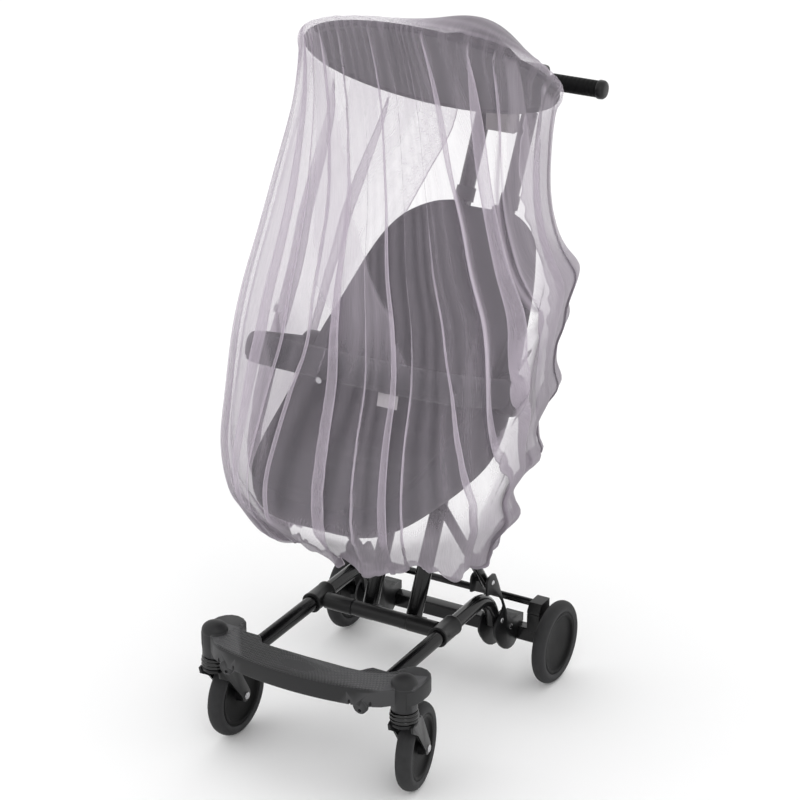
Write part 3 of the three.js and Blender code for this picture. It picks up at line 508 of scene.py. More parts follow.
for side, label in SIDES:
    outer = side * (RAIL_X + CHANNEL)
    inner = side * (RAIL_X - CHANNEL - STEEL)
    thick = (side * STEEL / 1000, 0, 0)
    bracket = plate(f"bracket_{label}", [at(outer, y, z) for y, z in bracket_line], thick)
    combine(bracket, plate("inner", [at(inner, y, z) for y, z in bracket_line], thick), "UNION")
    half = CHANNEL + 3
    for low, high in (((205, 110), (239, 118)), ((238, 93.4), (264, 110))):
        web = block("web", (side * RAIL_X - half, *low), (side * RAIL_X + half, *high), black_steel, 0)
        combine(bracket, web, "UNION")
    pin_ends = [(side * RAIL_X + end * (half - 1), PIN_Y, PIN_Z) for end in (-1, 1)]
    combine(bracket, straight_tube("pin", *pin_ends, 4, black_steel, 28, 0), "UNION")
    complete(bracket, black_steel, 0.0007, 2)
    fix_to_frame(bracket, "black_plastic", f"axle_bracket_{label}")
    for rivet_y, rivet_z in ((PIN_Y, PIN_Z), (178, 134), (213, 106)):
        head = [(0, 4), (4.6, 4), (4.6, 5.2), (3.4, 6.2), (0, 6.6)]
        rivet = turned("rivet", sided(head, side), "X", at(outer, rivet_y, rivet_z), 20)
        complete(rivet, bright_steel, 0)
        rivet.name = f"bracket_rivet_{label}_{rivet_z}"
        fix_to_frame(rivet, "bolt_steel")
    brake_x = side * BRAKE_X
    low, high = (brake_x - BRAKE_HALF, AXLE_Y - 20, 93.5), (brake_x + BRAKE_HALF, AXLE_Y + 20, 147.2)
    brake = block(f"brake_housing_{label}", low, high, dark_plastic, 0)
    wedge = [at(side * 150, AXLE_Y - y, z) for y, z in ((30, 119), (30, 160), (11, 160), (11, 147))]
    combine(brake, plate("wedge", wedge, (side * 0.05, 0, 0)), "DIFFERENCE")
    low, high = (brake_x - 20, AXLE_Y - 30, 128), (brake_x + 20, AXLE_Y + 2, 129.4)
    combine(brake, block("groove", low, high, dark_plastic, 0), "DIFFERENCE")
    complete(brake, dark_plastic, 0.0022, 3)
    fix_to_frame(brake, "black_plastic", f"brake_block_{label}")
    low, high = (side * RAIL_X, 149.8, 214.6), (side * RAIL_X, -8.1, 428.5)
    strut = straight_tube(f"strut_{label}", low, high, 8.6, tube_black, 32)
    hole_ends = [(side * x, PIN_Y, PIN_Z) for x in (100, 148)]
    combine(strut, straight_tube("hole", *hole_ends, 4.4, tube_black, 28, 0), "DIFFERENCE")
    complete(strut, tube_black)
    fix_to_frame(strut, "black_tube", f"seat_strut_{label}")
    hub_place = at(side * REAR_X, AXLE_Y, WHEEL_R)
    tyre = turned(f"rear_wheel_tyre_{label}", tyre_profile(REAR_TYRE_HALF), "X", hub_place, 72)
    complete(tyre, rubber, 0, angle=50)
    fix_to_frame(tyre, "tyre", f"rear_tyre_{label}")
    dish = sided(disc_side(REAR_TYRE_HALF, 13.9), -1) + FLUSH_SIDE[::-1]
    disc = turned(f"rear_wheel_disc_{label}", sided(dish, side), "X", hub_place, 72)
    complete(disc, disc_plastic, 0.0005, 2)
    fix_to_frame(disc, "black_plastic", f"rear_disc_{label}")

# Masts, head and handle
# Two tubes lean back side by side from lugs behind the cross tube to a moulded head. The handle runs
# through the head in black grips with rounded caps, and a grey-brown plate between the tubes holds the hood.
MAST_X, MAST_R = 43, 14
MAST_LEAN = (436 - 42) / (957 - 180)
plate_grey, _ = mottled("grey_brown_plate", (0.27, 0.26, 0.25), 0.5, mottle=0.12)
foam_look = {"mottle": 0.2, "patch": 0.004, "grain": 0.0008, "bump": 0.5, "gloss": 0.12}
grip_black, _ = mottled("foam_grip", (0.004, 0.004, 0.0043), 0.6, **foam_look)


def mast_y(z):
    """How far back the masts are at a height"""
    return 42 + (z - 180) * MAST_LEAN


def along_mast(name, low, high, radius, material, *shape):
    """A round bar on the current mast's axis between two heights"""
    ends = [(mast_x, mast_y(height), height) for height in (low, high)]
    return straight_tube(name, *ends, radius, material, *shape)


for side, label in SIDES:
    mast_x = side * MAST_X
    mast = along_mast(f"mast_tube_{label}", 181, 969, MAST_R - 0.1, tube_black, 48)
    fix_to_frame(mast, "black_tube", f"mast_{label}")
    lug = block(f"mast_foot_{label}", (mast_x - 17, 18.6, 163), (mast_x + 17, 57.9, 174.2), dark_plastic, 0)
    tongue = block("tongue", (side * 39 - 11, 18.6, 164), (side * 39 + 11, 28.4, 186.8), dark_plastic, 0)
    combine(lug, tongue, "UNION")
    complete(lug, dark_plastic, 0.002, 3)
    pin_head = [(0, 0), (3.6, 0), (3.6, 1), (2.6, 1.8), (0, 2)]
    foot_pin = turned("foot_pin", pin_head, "Y", at(mast_x + 13, 16.4, 170), 20)
    complete(foot_pin, bright_steel, 0, angle=40)
    foot_pin.name = f"mast_foot_rivet_{label}"
    fix_to_frame(foot_pin, "bolt_steel")
    fix_to_frame(lug, "black_plastic", f"mast_lug_{label}")
    clip = along_mast(f"clip_{label}", 817.2, 838.8, MAST_R + 3, dark_plastic, 40, 0)
    tongue = block("tongue", (side * 32 - 8, 342.4, 812.5), (side * 32 + 8, 354, 824.5), dark_plastic, 0)
    combine(clip, tongue, "UNION")
    combine(clip, along_mast("bore", 790, 860, MAST_R + 0.4, dark_plastic, 48, 0), "DIFFERENCE")
    complete(clip, dark_plastic, 0.0006, 2)
    fix_to_frame(clip, "black_plastic", f"seat_clip_{label}")
head = block("handle_head", (-66, 421, 976), (66, 476, 1048), dark_plastic, 0.009)
fix_to_frame(head, "black_plastic", "mast_head")
bridge = block("hood_plate", (-28, 412.8, 934), (28, 434, 975), plate_grey, 0.003)
fix_to_frame(bridge, "bridge_plastic", "mast_bridge")
HANDLE_Y, HANDLE_Z = 437, 1030
grip_line = [(0, 86), (13, 86), (14.3, 87.3), (14.5, 89)]
for groove in range(93, 170, 8):
    grip_line += [(14.5, groove), (14.1, groove + 0.7), (14.1, groove + 1.5), (14.5, groove + 2.2)]
grip_line += [(14.5, 171), (14.2, 172.4), (13, 173), (0, 173)]
cap_line = [(0, 173.4), (15.6, 173.4), (16.3, 174.4), (16.5, 177), (16, 182.5), (13.6, 185.8), (9, 187),
            (0, 187.2)]
for side, label in SIDES:
    neck_ends = [(side * x, HANDLE_Y, HANDLE_Z) for x in (66.3, 85.7)]
    neck = straight_tube(f"handle_neck_{label}", *neck_ends, 11, tube_black)
    fix_to_frame(neck, "black_tube", f"handle_tube_{label}")
    grip = turned(f"grip_{label}", sided(grip_line, side), "X", at(0, HANDLE_Y, HANDLE_Z), 48)
    complete(grip, grip_black, 0, angle=40)
    fix_to_frame(grip, "black_plastic", f"handle_grip_{label}")
    cap = turned(f"grip_cap_{label}", sided(cap_line, side), "X", at(0, HANDLE_Y, HANDLE_Z), 48)
    complete(cap, dark_plastic, 0, angle=40)
    fix_to_frame(cap, "black_plastic", f"handle_cap_{label}")

# Seat
# A deep reclined tub of grey woven polyester over foam. Its rim is a rolled binding, a seam runs round
# the wall above the floor, and the lining is quilted by stitched channels across the back and floor.
SEAT_SECTIONS = [
    # y, half width, rim, inside floor, outside floor
    (342, 34, 825, 817, 803), (330, 84, 818, 802, 779), (305, 124, 799, 765, 731), (272, 145, 774, 706, 666),
    (232, 156, 743, 632, 588), (190, 164, 707, 556, 508), (150, 170, 674, 502, 442),
    (108, 174, 645, 480, 423), (40, 172, 602, 474, 420), (-40, 163, 566, 488, 420),
    (-120, 152, 534, 498, 425), (-180, 134, 511, 494, 434), (-206, 108, 501, 489, 442),
    (-218, 70, 496, 487, 452)]


def catmull(table, place):
    """Rows of a table read at broken places, on a smooth curve through them"""
    table = np.asarray(table, float)
    k = np.clip(np.floor(place).astype(int), 0, len(table) - 2)
    t = (place - k)[:, None]
    a, b, c, d = (table[np.clip(k + i, 0, len(table) - 1)] for i in (-1, 0, 1, 2))
    bend, twist = 2 * a - 5 * b + 4 * c - d, 3 * b - a - 3 * c + d
    return 0.5 * (2 * b + (c - a) * t + bend * t * t + twist * t ** 3)


def woven(name, dark, light, pitch, roughness=0.92, sheen=0.12):
    """Plain-woven cloth of two yarn shades on UV in metres, with a slubby melange"""
    material, shader = finish(name, dark, roughness, sheen=sheen, gloss=0.15)
    links = material.node_tree.links
    uv = add_node(material, "UVMap").outputs["UV"]
    yarns = {"Scale": 0.314 / pitch, "Distortion": 0.6, "Detail": 2, "Vector": uv}
    height = [add_node(material, "TexWave", yarns, bands_direction=way).outputs["Fac"] for way in "XY"]
    over = add_node(material, "Math", dict(enumerate(height)), operation="MAXIMUM").outputs[0]
    slub = add_node(material, "TexNoise", {"Scale": 150, "Detail": 3, "Vector": uv}).outputs["Fac"]
    cloud = add_node(material, "TexNoise", {"Scale": 14, "Vector": uv}).outputs["Fac"]
    shift = add_node(material, "Math", {0: cloud, 1: 0.35, 2: over}, operation="MULTIPLY_ADD").outputs[0]
    mixed = add_node(material, "Math", {0: slub, 1: 0.7, 2: shift}, operation="MULTIPLY_ADD").outputs[0]
    ramp = add_node(material, "MapRange", {"From Min": 0.6, "From Max": 1.7, "Value": mixed})
    shades = {"A": (*dark, 1), "B": (*light, 1), "Factor": ramp.outputs["Result"]}
    blend = add_node(material, "Mix", shades, data_type="RGBA")
    links.new(blend.outputs["Result"], shader.inputs["Base Color"])
    relief = add_node(material, "Bump", {"Strength": 0.15, "Distance": 0.00015, "Height": over})
    links.new(relief.outputs["Normal"], shader.inputs["Normal"])
    return material


def grid_piece(name, points, material, ring=False, caps=False):
    """A mesh from rows of points, its UVs in metres along the cloth; ring closes each row on itself"""
    rows, columns = points.shape[:2]
    across_steps = np.linalg.norm(np.diff(points, axis=1, prepend=points[:, :1]), axis=2)
    down_steps = np.linalg.norm(np.diff(points, axis=0, prepend=points[:1]), axis=2)
    across, down = across_steps.cumsum(axis=1).mean(axis=0), down_steps.cumsum(axis=0).mean(axis=1)
    faces = []
    wrap = columns if ring else columns - 1
    for j in range(rows - 1):
        for i in range(wrap):
            a, b = j * columns + i, j * columns + (i + 1) % columns
            faces.append((a, b, b + columns, a + columns))
    if caps:
        faces.append(tuple(range(columns))[::-1])
        faces.append(tuple((rows - 1) * columns + i for i in range(columns)))
    mesh = bpy.data.meshes.new(name)
    mesh.from_pydata(points.reshape(-1, 3).tolist(), [], faces)
    layer = mesh.uv_layers.new(name="cloth")
    vertex = np.empty(len(mesh.loops), dtype=int)
    mesh.loops.foreach_get("vertex_index", vertex)
    uv = np.stack([across[vertex % columns], down[vertex // columns]], axis=1)
    layer.data.foreach_set("uv", uv.ravel())
    mesh.validate()
    piece = bpy.data.objects.new(name, mesh)
    bpy.context.collection.objects.link(piece)
    take(piece)
    edit_all()
    face_outwards()
    bpy.ops.object.shade_smooth()
    piece.data.materials.append(material)
    return piece


def metres(points):
    """Rows of points in the stroller's millimetres, in the frame's metres"""
    return (np.asarray(points, float) + np.array([SHIFT_X, SHIFT_Y, 0.0])) / 1000


def seat_section(row, steps=44):
    """One closed cut across the tub: outer wall, rolled rim, lining and rim again"""
    y, half, rim, inside, outside = row
    wall = min(13.0, half * 0.2)
    t = np.linspace(0, math.pi, steps)
    across, down = np.sign(np.cos(t)) * np.abs(np.cos(t)) ** 0.45, np.sin(t) ** 0.6
    outer = np.stack([-half * across, np.full(steps, y), rim - (rim - outside) * down], 1)
    seam = np.exp(-((outer[:, 2] - (outside + 30)) / 2.6) ** 2) * (np.abs(outer[:, 0]) > half * 0.8)
    outer[:, 0] -= np.sign(outer[:, 0]) * 1.6 * seam
    quilt = 2.2 * np.abs(np.sin(y / 62 * math.pi)) ** 0.5 * np.sin(t) ** 2
    inner = np.stack([(half - wall) * across, np.full(steps, y), rim - (rim - inside) * down + quilt], 1)
    roll = np.linspace(0, math.pi, 7)[1:-1]
    rolled = -(half - wall / 2) - wall / 2 * np.cos(roll)
    left = np.stack([rolled, np.full(len(roll), y), rim + 3.2 * np.sin(roll)], 1)
    right = left.copy()
    right[:, 0] *= -1
    return np.concatenate([outer, right, inner, left[::-1]])


seat_grey = woven("seat_weave", (0.020, 0.020, 0.022), (0.030, 0.030, 0.033), 0.0011)
stations = catmull(SEAT_SECTIONS, np.linspace(0, len(SEAT_SECTIONS) - 1, 92))
seat_rows = metres([seat_section(row) for row in stations])
seat = grid_piece("seat_tub", seat_rows, seat_grey, ring=True, caps=True)
fix_to_frame(seat, "grey_fabric", "seat")

# Guard bar
# A padded U-shaped bar covered in grey fabric crosses in front of the seat. Its ends turn in round black
# covers beside the seat; a seam follows its lower edge, with a snap on it and a small blank pale tag.
JOINT_X, JOINT_Y, JOINT_Z = 174.3, 102, 601
BAR_Y, BAR_Z, BAR_HALF = -140, 702, 192
BAR_THICK, BAR_TALL = 13.2, 24.6
BAR_TILT = math.atan2(BAR_Z - JOINT_Z, JOINT_Y - BAR_Y)
BAR_REACH = math.hypot(BAR_Z - JOINT_Z, JOINT_Y - BAR_Y)


def bar_point(x, forward, up):
    """A place on the tilted plane of the guard bar, in the stroller's millimetres"""
    return (x, JOINT_Y - forward * math.cos(BAR_TILT) + up * math.sin(BAR_TILT),
            JOINT_Z + forward * math.sin(BAR_TILT) + up * math.cos(BAR_TILT))


half_path = [
    (BAR_HALF, 36), (BAR_HALF, BAR_REACH - 114), (BAR_HALF - 5, BAR_REACH - 74),
    (BAR_HALF - 26, BAR_REACH - 26), (BAR_HALF - 74, BAR_REACH - 4), (0, BAR_REACH + 8)]
bar_path = [(-x, forward) for x, forward in half_path] + half_path[-2::-1]
bar_line = catmull(bar_path, np.linspace(0, len(bar_path) - 1, 200))
bar_line = bar_line[np.concatenate([[True], np.linalg.norm(np.diff(bar_line, axis=0), axis=1) > 0.5])]
bar_along = np.gradient(bar_line, axis=0)
bar_along /= np.linalg.norm(bar_along, axis=1)[:, None]
around = np.linspace(0, 2 * math.pi, 48, endpoint=False)
flattened = np.sign(np.cos(around)) * np.abs(np.cos(around)) ** 0.8
seam_dip = 1.2 * np.exp(-((np.sin(around) + 0.72) / 0.05) ** 2)
bar_rows = []
for k, (centre, along) in enumerate(zip(bar_line, bar_along)):
    crease = 0.6 * math.sin(k * 0.9) * math.sin(k * 0.37)
    thick = (BAR_THICK + crease * np.sin(around * 2) - seam_dip) * flattened
    tall = (BAR_TALL - seam_dip) * np.sin(around)
    bar_rows.append([bar_point(centre[0] + along[1] * out, centre[1] - along[0] * out, up)
                     for out, up in zip(thick, tall)])
guard = grid_piece("bar_padding", metres(bar_rows), seat_grey, ring=True, caps=True)
fix_to_frame(guard, "grey_fabric", "guard_bar")
cover_line = [(0, 0), (33, 0), (34.6, 1.2), (35.5, 3.2), (35.5, 24), (34.2, 27.6), (31, 29.6), (25, 30),
              (24.4, 29.2), (23.4, 29.2), (22.8, 30.4), (12, 31.8), (0, 32)]
for side, label in SIDES:
    cover = turned(f"bar_cover_{label}", sided(cover_line, side), "X", at(side * JOINT_X, JOINT_Y, JOINT_Z))
    complete(cover, dark_plastic, 0, angle=40)
    fix_to_frame(cover, "black_plastic", f"guard_joint_{label}")
TAG_TURN = Matrix.Rotation(-0.25, 3, "X")
tag_white, _ = finish("white_tape", (0.42, 0.40, 0.41), 0.85, sheen=0.2)
tag = block("blank_tag", (84, -149.1, 655), (120, -147.9, 677), tag_white, 0.0003)
tag_middle = at(101, -148.5, 665.5)
for vertex in tag.data.vertices:
    vertex.co = TAG_TURN @ (vertex.co - tag_middle) + tag_middle
fix_to_frame(tag, "tag_cloth", "bar_tag")
snap_line = [(0, 0), (5, 0), (5.4, 0.8), (4.6, 1.6), (3, 1.9), (0, 1.6)]
snap_place = at(*bar_point(-12, BAR_REACH + 19, -27))
snap = turned("bar_snap", sided(snap_line, -1), "Y", snap_place, 28)
complete(snap, bright_steel, 0, angle=40)
fix_to_frame(snap, "bolt_steel")

# Hood
# A flat round shade of grey cloth stretched over a hoop that leans forward and up, its rim bound by a
# rolled tape with a stitched line inside it. Spare cloth of the net rests on its raised right half.
HOOD_X, HOOD_Y, HOOD_Z = -12, 197, 1099
HOOD_WIDE, HOOD_DEEP, HOOD_PITCH, HOOD_ROLL = 206, 215, 0.6, 0.083
CROWN_X, CROWN_Y, CROWN_RISE, CROWN_REACH, CROWN_ROW = 120, 104, 33, 56, 19
hood_grey = woven("hood_weave", (0.020, 0.020, 0.023), (0.030, 0.030, 0.034), 0.0009)
hood_slope = math.hypot(1, HOOD_PITCH, HOOD_ROLL)
hood_rows = []
hood_profile = [
    # share of the radius and height above the hoop: underside, rolled rim, and top after CROWN_ROW
    (0.02, -1.6), (0.2, -1.6), (0.4, -1.6), (0.6, -1.6), (0.78, -1.7), (0.88, -1.8), (0.914, -2.6),
    (0.922, -1.9), (0.93, -2.9), (0.95, -3.4), (0.968, -4.6), (0.982, -5.2), (0.995, -3.4), (1.0, 0.4),
    (0.996, 3.6), (0.986, 5.6), (0.972, 5.2), (0.955, 3.6), (0.93, 3.2), (0.922, 2.4), (0.914, 3.4),
    (0.88, 3.7), (0.84, 4.2), (0.78, 4.8), (0.7, 5.6), (0.6, 6.6), (0.5, 7.4), (0.4, 8.2), (0.3, 9),
    (0.15, 9.8), (0.02, 10)]
hood_round = np.linspace(0, 2 * math.pi, 144, endpoint=False)
for row, (scale, above) in enumerate(hood_profile):
    pucker = 0.5 * np.sin(hood_round * 46) * math.exp(-((scale - 0.88) / 0.05) ** 2)
    x = HOOD_X + HOOD_WIDE * scale * np.cos(hood_round)
    y = HOOD_Y + HOOD_DEEP * scale * np.sin(hood_round)
    z = HOOD_Z - HOOD_PITCH * (y - HOOD_Y) + HOOD_ROLL * (x - HOOD_X)
    from_crown = (x - CROWN_X) ** 2 + (y - CROWN_Y) ** 2
    rise = CROWN_RISE * np.exp(-from_crown / CROWN_REACH ** 2) if row > CROWN_ROW else 0
    lift = (above + pucker + rise) / hood_slope
    hood_rows.append(np.stack([x - lift * HOOD_ROLL, y + lift * HOOD_PITCH, z + lift], 1))
hood = grid_piece("hood_shade", metres(hood_rows), hood_grey, ring=True, caps=True)
fix_to_frame(hood, "grey_fabric", "hood")

# Net
# One sheet of fine lilac tulle hangs from a small gathered edge behind the hood, over the hood's rim and
# down round the seat, open at the back. It falls in long doubled folds and is gathered at its hem, which
# a fine edging follows, with a dark elastic at the left.
NET_RINGS = np.array([
    # z, tilt, x, left, right, y, front, back, square, left slot, right slot
    (1000, 22, -10, 68, 62, 388, 38, 14, 2.0, 84, 84), (1050, 64, -10, 128, 124, 310, 100, 98, 2.0, 45, 44),
    (1094, 96, -11, 176, 172, 240, 160, 170, 2.0, 29, 28),
    (1113, 122, -12, 204, 201, 200, 206, 209, 2.0, 22, 21),
    (1101, 132, -12, 215, 209, 197, 222, 222, 2.0, 19, 19),
    (1076, 124, -11, 216, 197, 197, 222, 220, 2.0, 19, 18),
    (1010, 92, -8, 223, 189, 190, 225, 213, 2.1, 20, 18), (920, 62, -8, 237, 197, 168, 236, 216, 2.2, 24, 19),
    (830, 38, -6, 246, 220, 138, 253, 226, 2.35, 29, 23), (760, 24, -4, 248, 241, 112, 264, 247, 2.6, 34, 27),
    (690, 12, -2, 246, 238, 78, 260, 259, 2.8, 40, 34), (610, 4, -2, 238, 233, 40, 261, 268, 2.7, 47, 42),
    (530, 0, -4, 231, 230, 10, 257, 266, 2.6, 54, 49), (460, 1, -4, 222, 219, -8, 236, 240, 2.4, 60, 56),
    (408, 24, -2, 206, 207, -14, 213, 212, 2.2, 64, 62), (347, 55, 2, 182, 185, -14, 185, 180, 2.1, 68, 68),
    (337, 55, 8, 152, 158, -14, 160, 146, 2.0, 70, 72)])
PUFFS = np.array([
    # angle, its reach, drop, its reach, outwards, upwards
    (52, 25, 0.15, 0.07, 0, 39), (118, 26, 0.53, 0.045, 16, 0), (122, 24, 0.7, 0.035, 14, 0),
    (116, 24, 0.785, 0.03, 16, 0), (106, 20, 0.87, 0.03, 18, 0), (62, 22, 0.965, 0.035, 18, 0),
    (22, 20, 0.97, 0.035, 20, 0),
    # smaller ruffles down the right edge and along the hem
    (122, 16, 0.535, 0.022, 11, 0), (126, 16, 0.615, 0.018, 10, 0), (122, 15, 0.70, 0.017, 12, 0),
    (118, 15, 0.785, 0.017, 12, 0), (108, 14, 0.872, 0.018, 11, 0), (94, 9, 0.94, 0.03, 8, -4),
    (72, 13, 0.985, 0.04, 9, -14), (49, 6, 0.985, 0.04, -6, 8), (26, 15, 0.985, 0.04, 9, -14),
    (-1, 6, 0.98, 0.04, -4, 5), (-16, 9, 0.975, 0.04, 4, -5), (-40, 9, 0.97, 0.03, 5, -4),
    # room for the hood's rim on the right, and the lower right end of the crown
    (74, 34, 0.235, 0.035, 7, 4), (94, 20, 0.165, 0.045, 0, -7)])
THREAD_DROPS = (0.30, 0.45, 0.60, 0.80, 1.0)
THREADS = [
    # angles of one thread of the cloth at each of THREAD_DROPS
    (-161, -158, -146, -125, -110), (-130, -126, -118, -104, -92), (-100, -100, -96, -86, -76),
    (-75, -76, -74, -68, -60), (-46, -54, -56, -52, -46), (-42, -28, -24, -33, -38),
    (-34, -18, -12, -24, -28), (-26, -7, -3.5, -13, -18), (-6, 8, 12, 20.5, 24), (10, 24, 30, 42, 46),
    (18, 34, 44, 79, 84), (26, 46.5, 61.5, 98, 98), (46, 62, 82, 106, 101), (58, 74, 94, 111, 103.5),
    (92, 93, 102, 115, 105.5), (108, 109, 112, 119, 107.5), (161, 158, 146, 125, 110)]
FOLDS = [
    # the thread that a doubled fold follows, or its own angles, and its widths in mm at THREAD_DROPS
    (1, (6, 26, 34, 30, 10)), (2, (5, 24, 36, 30, 10)), (3, (5, 26, 34, 32, 12)),
    ((-48, -54, -55, -51, -45), (5, 20, 25, 24, 10)), (5, (4, 14, 18, 10, 7)), (6, (4, 9, 10, 8, 6)),
    (7, (3, 5, 6, 7, 6)), ((-14, 0.5, 2, 6.5, 10), (2, 9, 21, 27, 12)), (8, (1, 1, 2, 6, 6)),
    ((2, 16, 22.5, 33, 38), (2, 5, 9, 14, 8)), (9, (1, 1, 2, 6, 6)), (10, (1, 1, 5, 14, 8)),
    (11, (4, 17, 29, 34, 8)), (12, (5, 32, 46, 18, 5)), (13, (5, 25, 26, 11, 5)), (14, (5, 16, 14, 9, 5)),
    (15, (5, 12, 12, 8, 5))]
PANELS = [
    # start and end of a broad panel of doubled cloth, each as two side angles and a drop, and its share
    ((-38, -33, 0.262), (-2, 17, 0.54), 1.2), ((-49, -37, 0.262), (-39, -15, 0.66), 0.9),
    ((-66, -56, 0.262), (-51, -41, 0.74), 1.3), ((-98, -84, 0.262), (-104, -72, 0.80), 1.1),
    ((-126, -112, 0.262), (-112, -92, 0.78), 0.9), ((-146, -136, 0.262), (-132, -120, 0.60), 0.4),
    ((-84, -78, 0.262), (-60, -34, 0.90), 1.0), ((62, 67, 0.262), (90, 116, 0.58), 1.2),
    ((96, 108, 0.30), (98, 150, 0.62), 1.4), ((90, 150, 0.50), (84, 118, 0.93), 1.9),
    ((20, 24, 0.262), (60, 92, 0.80), 0.25), ((40, 44, 0.262), (52, 70, 0.62), 0.3)]


def ease(value, low, high):
    """0 below low, 1 above high, and smooth between them"""
    t = np.clip((value - low) / (high - low), 0, 1)
    return t * t * (3 - 2 * t)


def band(value, start, full, fading, end):
    """1 between full and fading, 0 before start and after end, and smooth between them"""
    return ease(value, start, full) * (1 - ease(value, fading, end))


def bell(distance):
    """1 at no distance, falling smoothly to both sides"""
    return np.exp(-distance ** 2)


def cycle(turns):
    """A sine wave that repeats with each whole turn"""
    return np.sin(2 * math.pi * turns)


def unit(vectors):
    """The same directions, each 1 long"""
    return vectors / np.linalg.norm(vectors, axis=-1, keepdims=True)


def as_shares(rows):
    """Rows that rise across the cloth, each scaled to run from 0 to 1"""
    return (rows - rows[:, :1]) / (rows[:, -1:] - rows[:, :1])


def smooth_rows(values, reach):
    """Values softened along the first axis, their ends held"""
    kernel = bell(np.linspace(-2, 2, 2 * reach + 1))
    kernel /= kernel.sum()
    padded = np.concatenate([values[:1].repeat(reach, 0), values, values[-1:].repeat(reach, 0)])
    return sum(share * padded[i:i + len(values)] for i, share in enumerate(kernel))


def over_drops(table):
    """A row of THREAD_DROPS values for each drop of the net"""
    return np.array([np.interp(drop, THREAD_DROPS, row) for row in table]).T


def net_form(angle):
    """The net's broad form in mm, a row of angles for each drop, 0 in front and + to the right"""
    z, tilt, x, left, right, y, front, back, square = (rings[:, i, None] for i in range(9))
    turn = np.radians(angle)
    sideways = np.sign(np.sin(turn)) * np.abs(np.sin(turn)) ** (2 / square)
    forwards = np.sign(np.cos(turn)) * np.abs(np.cos(turn)) ** (2 / square)
    out, up = 0, 0
    for place, place_reach, level, level_reach, swell, rise in PUFFS:
        part = bell((angle - place) / place_reach) * bell((below - level) / level_reach)
        out, up = out + swell * part, up + rise * part
    width = np.where(angle < 0, left, right) + out
    depth = np.where(np.abs(angle) < 90, front, back) + out
    roll = HOOD_ROLL * (1 - ease(below, 0.25, 0.6))
    height = z + tilt * forwards + roll * width * sideways + up
    return np.stack([x + width * sideways, y - depth * forwards, height], 2)


# The cloth's rows and its threads, which lie closer together in the folds
NET_COLUMNS, HOOD_ROWS, HANGING_ROWS, FINE_STEPS = 430, 56, 136, 1601
HOOD_DROP, FOLD_DROP = 0.3, 0.6
RIPPLES = 46
random = np.random.default_rng(7)
over_rows, hanging_rows = np.linspace(0, HOOD_DROP, HOOD_ROWS), np.linspace(HOOD_DROP, 1, HANGING_ROWS)
drop = np.concatenate([over_rows[:-1], hanging_rows])
below = drop[:, None]
rings = catmull(NET_RINGS, drop * (len(NET_RINGS) - 1))
threads = as_shares(over_drops(THREADS))
even = threads.mean(axis=0)
threads = smooth_rows(threads + (even - threads) * (1 - ease(below, 0.0, 0.24)), 12)
fine = np.linspace(0, 1, FINE_STEPS)
fine_share = as_shares(smooth_rows(np.array([np.interp(fine, even, row) for row in threads]).T, 28).T)
edge_left, edge_right = rings[:, 9:10] - 180, 180 - rings[:, 10:11]
fine_angle = edge_left + (edge_right - edge_left) * fine_share
fold_tracks = [THREADS[track] if isinstance(track, int) else track for track, _ in FOLDS]
fold_angles = smooth_rows(over_drops(fold_tracks), 10)
fold_widths = smooth_rows(over_drops([widths for _, widths in FOLDS]), 10)
middle = np.searchsorted(drop, FOLD_DROP)
fold_places = np.interp(fold_angles[middle], fine_angle[middle], fine)
crowding = 1 + sum(2.6 * bell((fine - place) / 0.014) for place in fold_places)
spread = np.cumsum(crowding)
share = np.interp(np.linspace(spread[0], spread[-1], NET_COLUMNS), spread, fine)
angle = np.array([np.interp(share, fine, row) for row in fine_angle])
share = share[None]
base = net_form(angle)
reach = np.linalg.norm(net_form(angle + 0.5) - net_form(angle - 0.5), axis=2)

# Doubled folds, which lie to one side and to the other by turns
moved, lifted, edged = np.zeros_like(angle), np.zeros_like(angle), np.zeros_like(angle)
for k in range(len(FOLDS)):
    wide = fold_widths[:, k:k + 1]
    sigma = wide / 1.34 * ease(below, 0.25, 0.36) + 0.01
    x = (angle - fold_angles[:, k:k + 1]) * reach / sigma
    slide = x * np.exp(-x * x / 2)
    moved -= 2.5 * sigma * slide / reach
    lifted += (-1) ** k * np.minimum(sigma * 0.35, 5) * slide * 1.65
    lined = ease(wide, 1.2, 3.5) * ease(below, 0.26, 0.30) * (1 - 0.6 * ease(below, 0.8, 1.0))
    edged += (bell((np.abs(x) - 0.7) / (0.11 + 1.1 / sigma)) + 0.15 * bell(x / 0.6)) * lined

# Ripples at random places, then pleats at the hem, over the hood and under its rim, and crimped side edges
for _ in range(RIPPLES):
    place, drift = random.uniform(0.01, 0.99), random.normal(0, 0.02)
    wide, tall = random.uniform(0.006, 0.016), random.uniform(-2.4, 2.4)
    start = random.uniform(0.22, 0.5)
    track = place + drift * (below - FOLD_DROP)
    lifted += tall * bell((share - track) / wide) * ease(below, start, start + 0.2)
for waves, low, high, tall in ((14, 0.79, 0.95, 6.2), (31, 0.85, 0.97, 3.2), (67, 0.9, 0.99, 1.2)):
    wander = waves * share + 0.8 * np.sin(share * 17 + waves) + 0.25 * np.sin(share * 61)
    lifted += tall * cycle(wander) * ease(below, low, high)
off_crown = 1 - band(angle, -5, 20, 95, 110)
for waves, tall in ((19, 1.2), (37, 1.0), (58, 0.7)):
    wander = waves * share + 0.7 * np.sin(share * 13 + waves)
    lifted += tall * cycle(wander) * band(below, -0.1, 0.05, 0.15, 0.25) * off_crown
gather = band(below, 0.2, 0.25, 0.27, 0.42)
lifted += 1.6 * cycle(88 * share + 1.3 * np.sin(share * 9)) * gather
edge_near = np.exp(-np.minimum(angle - edge_left, edge_right - angle) * 4 / 42)
crimp = cycle(19 * below + 0.5 * np.sin(below * 40) + (angle > 0) * 0.3)
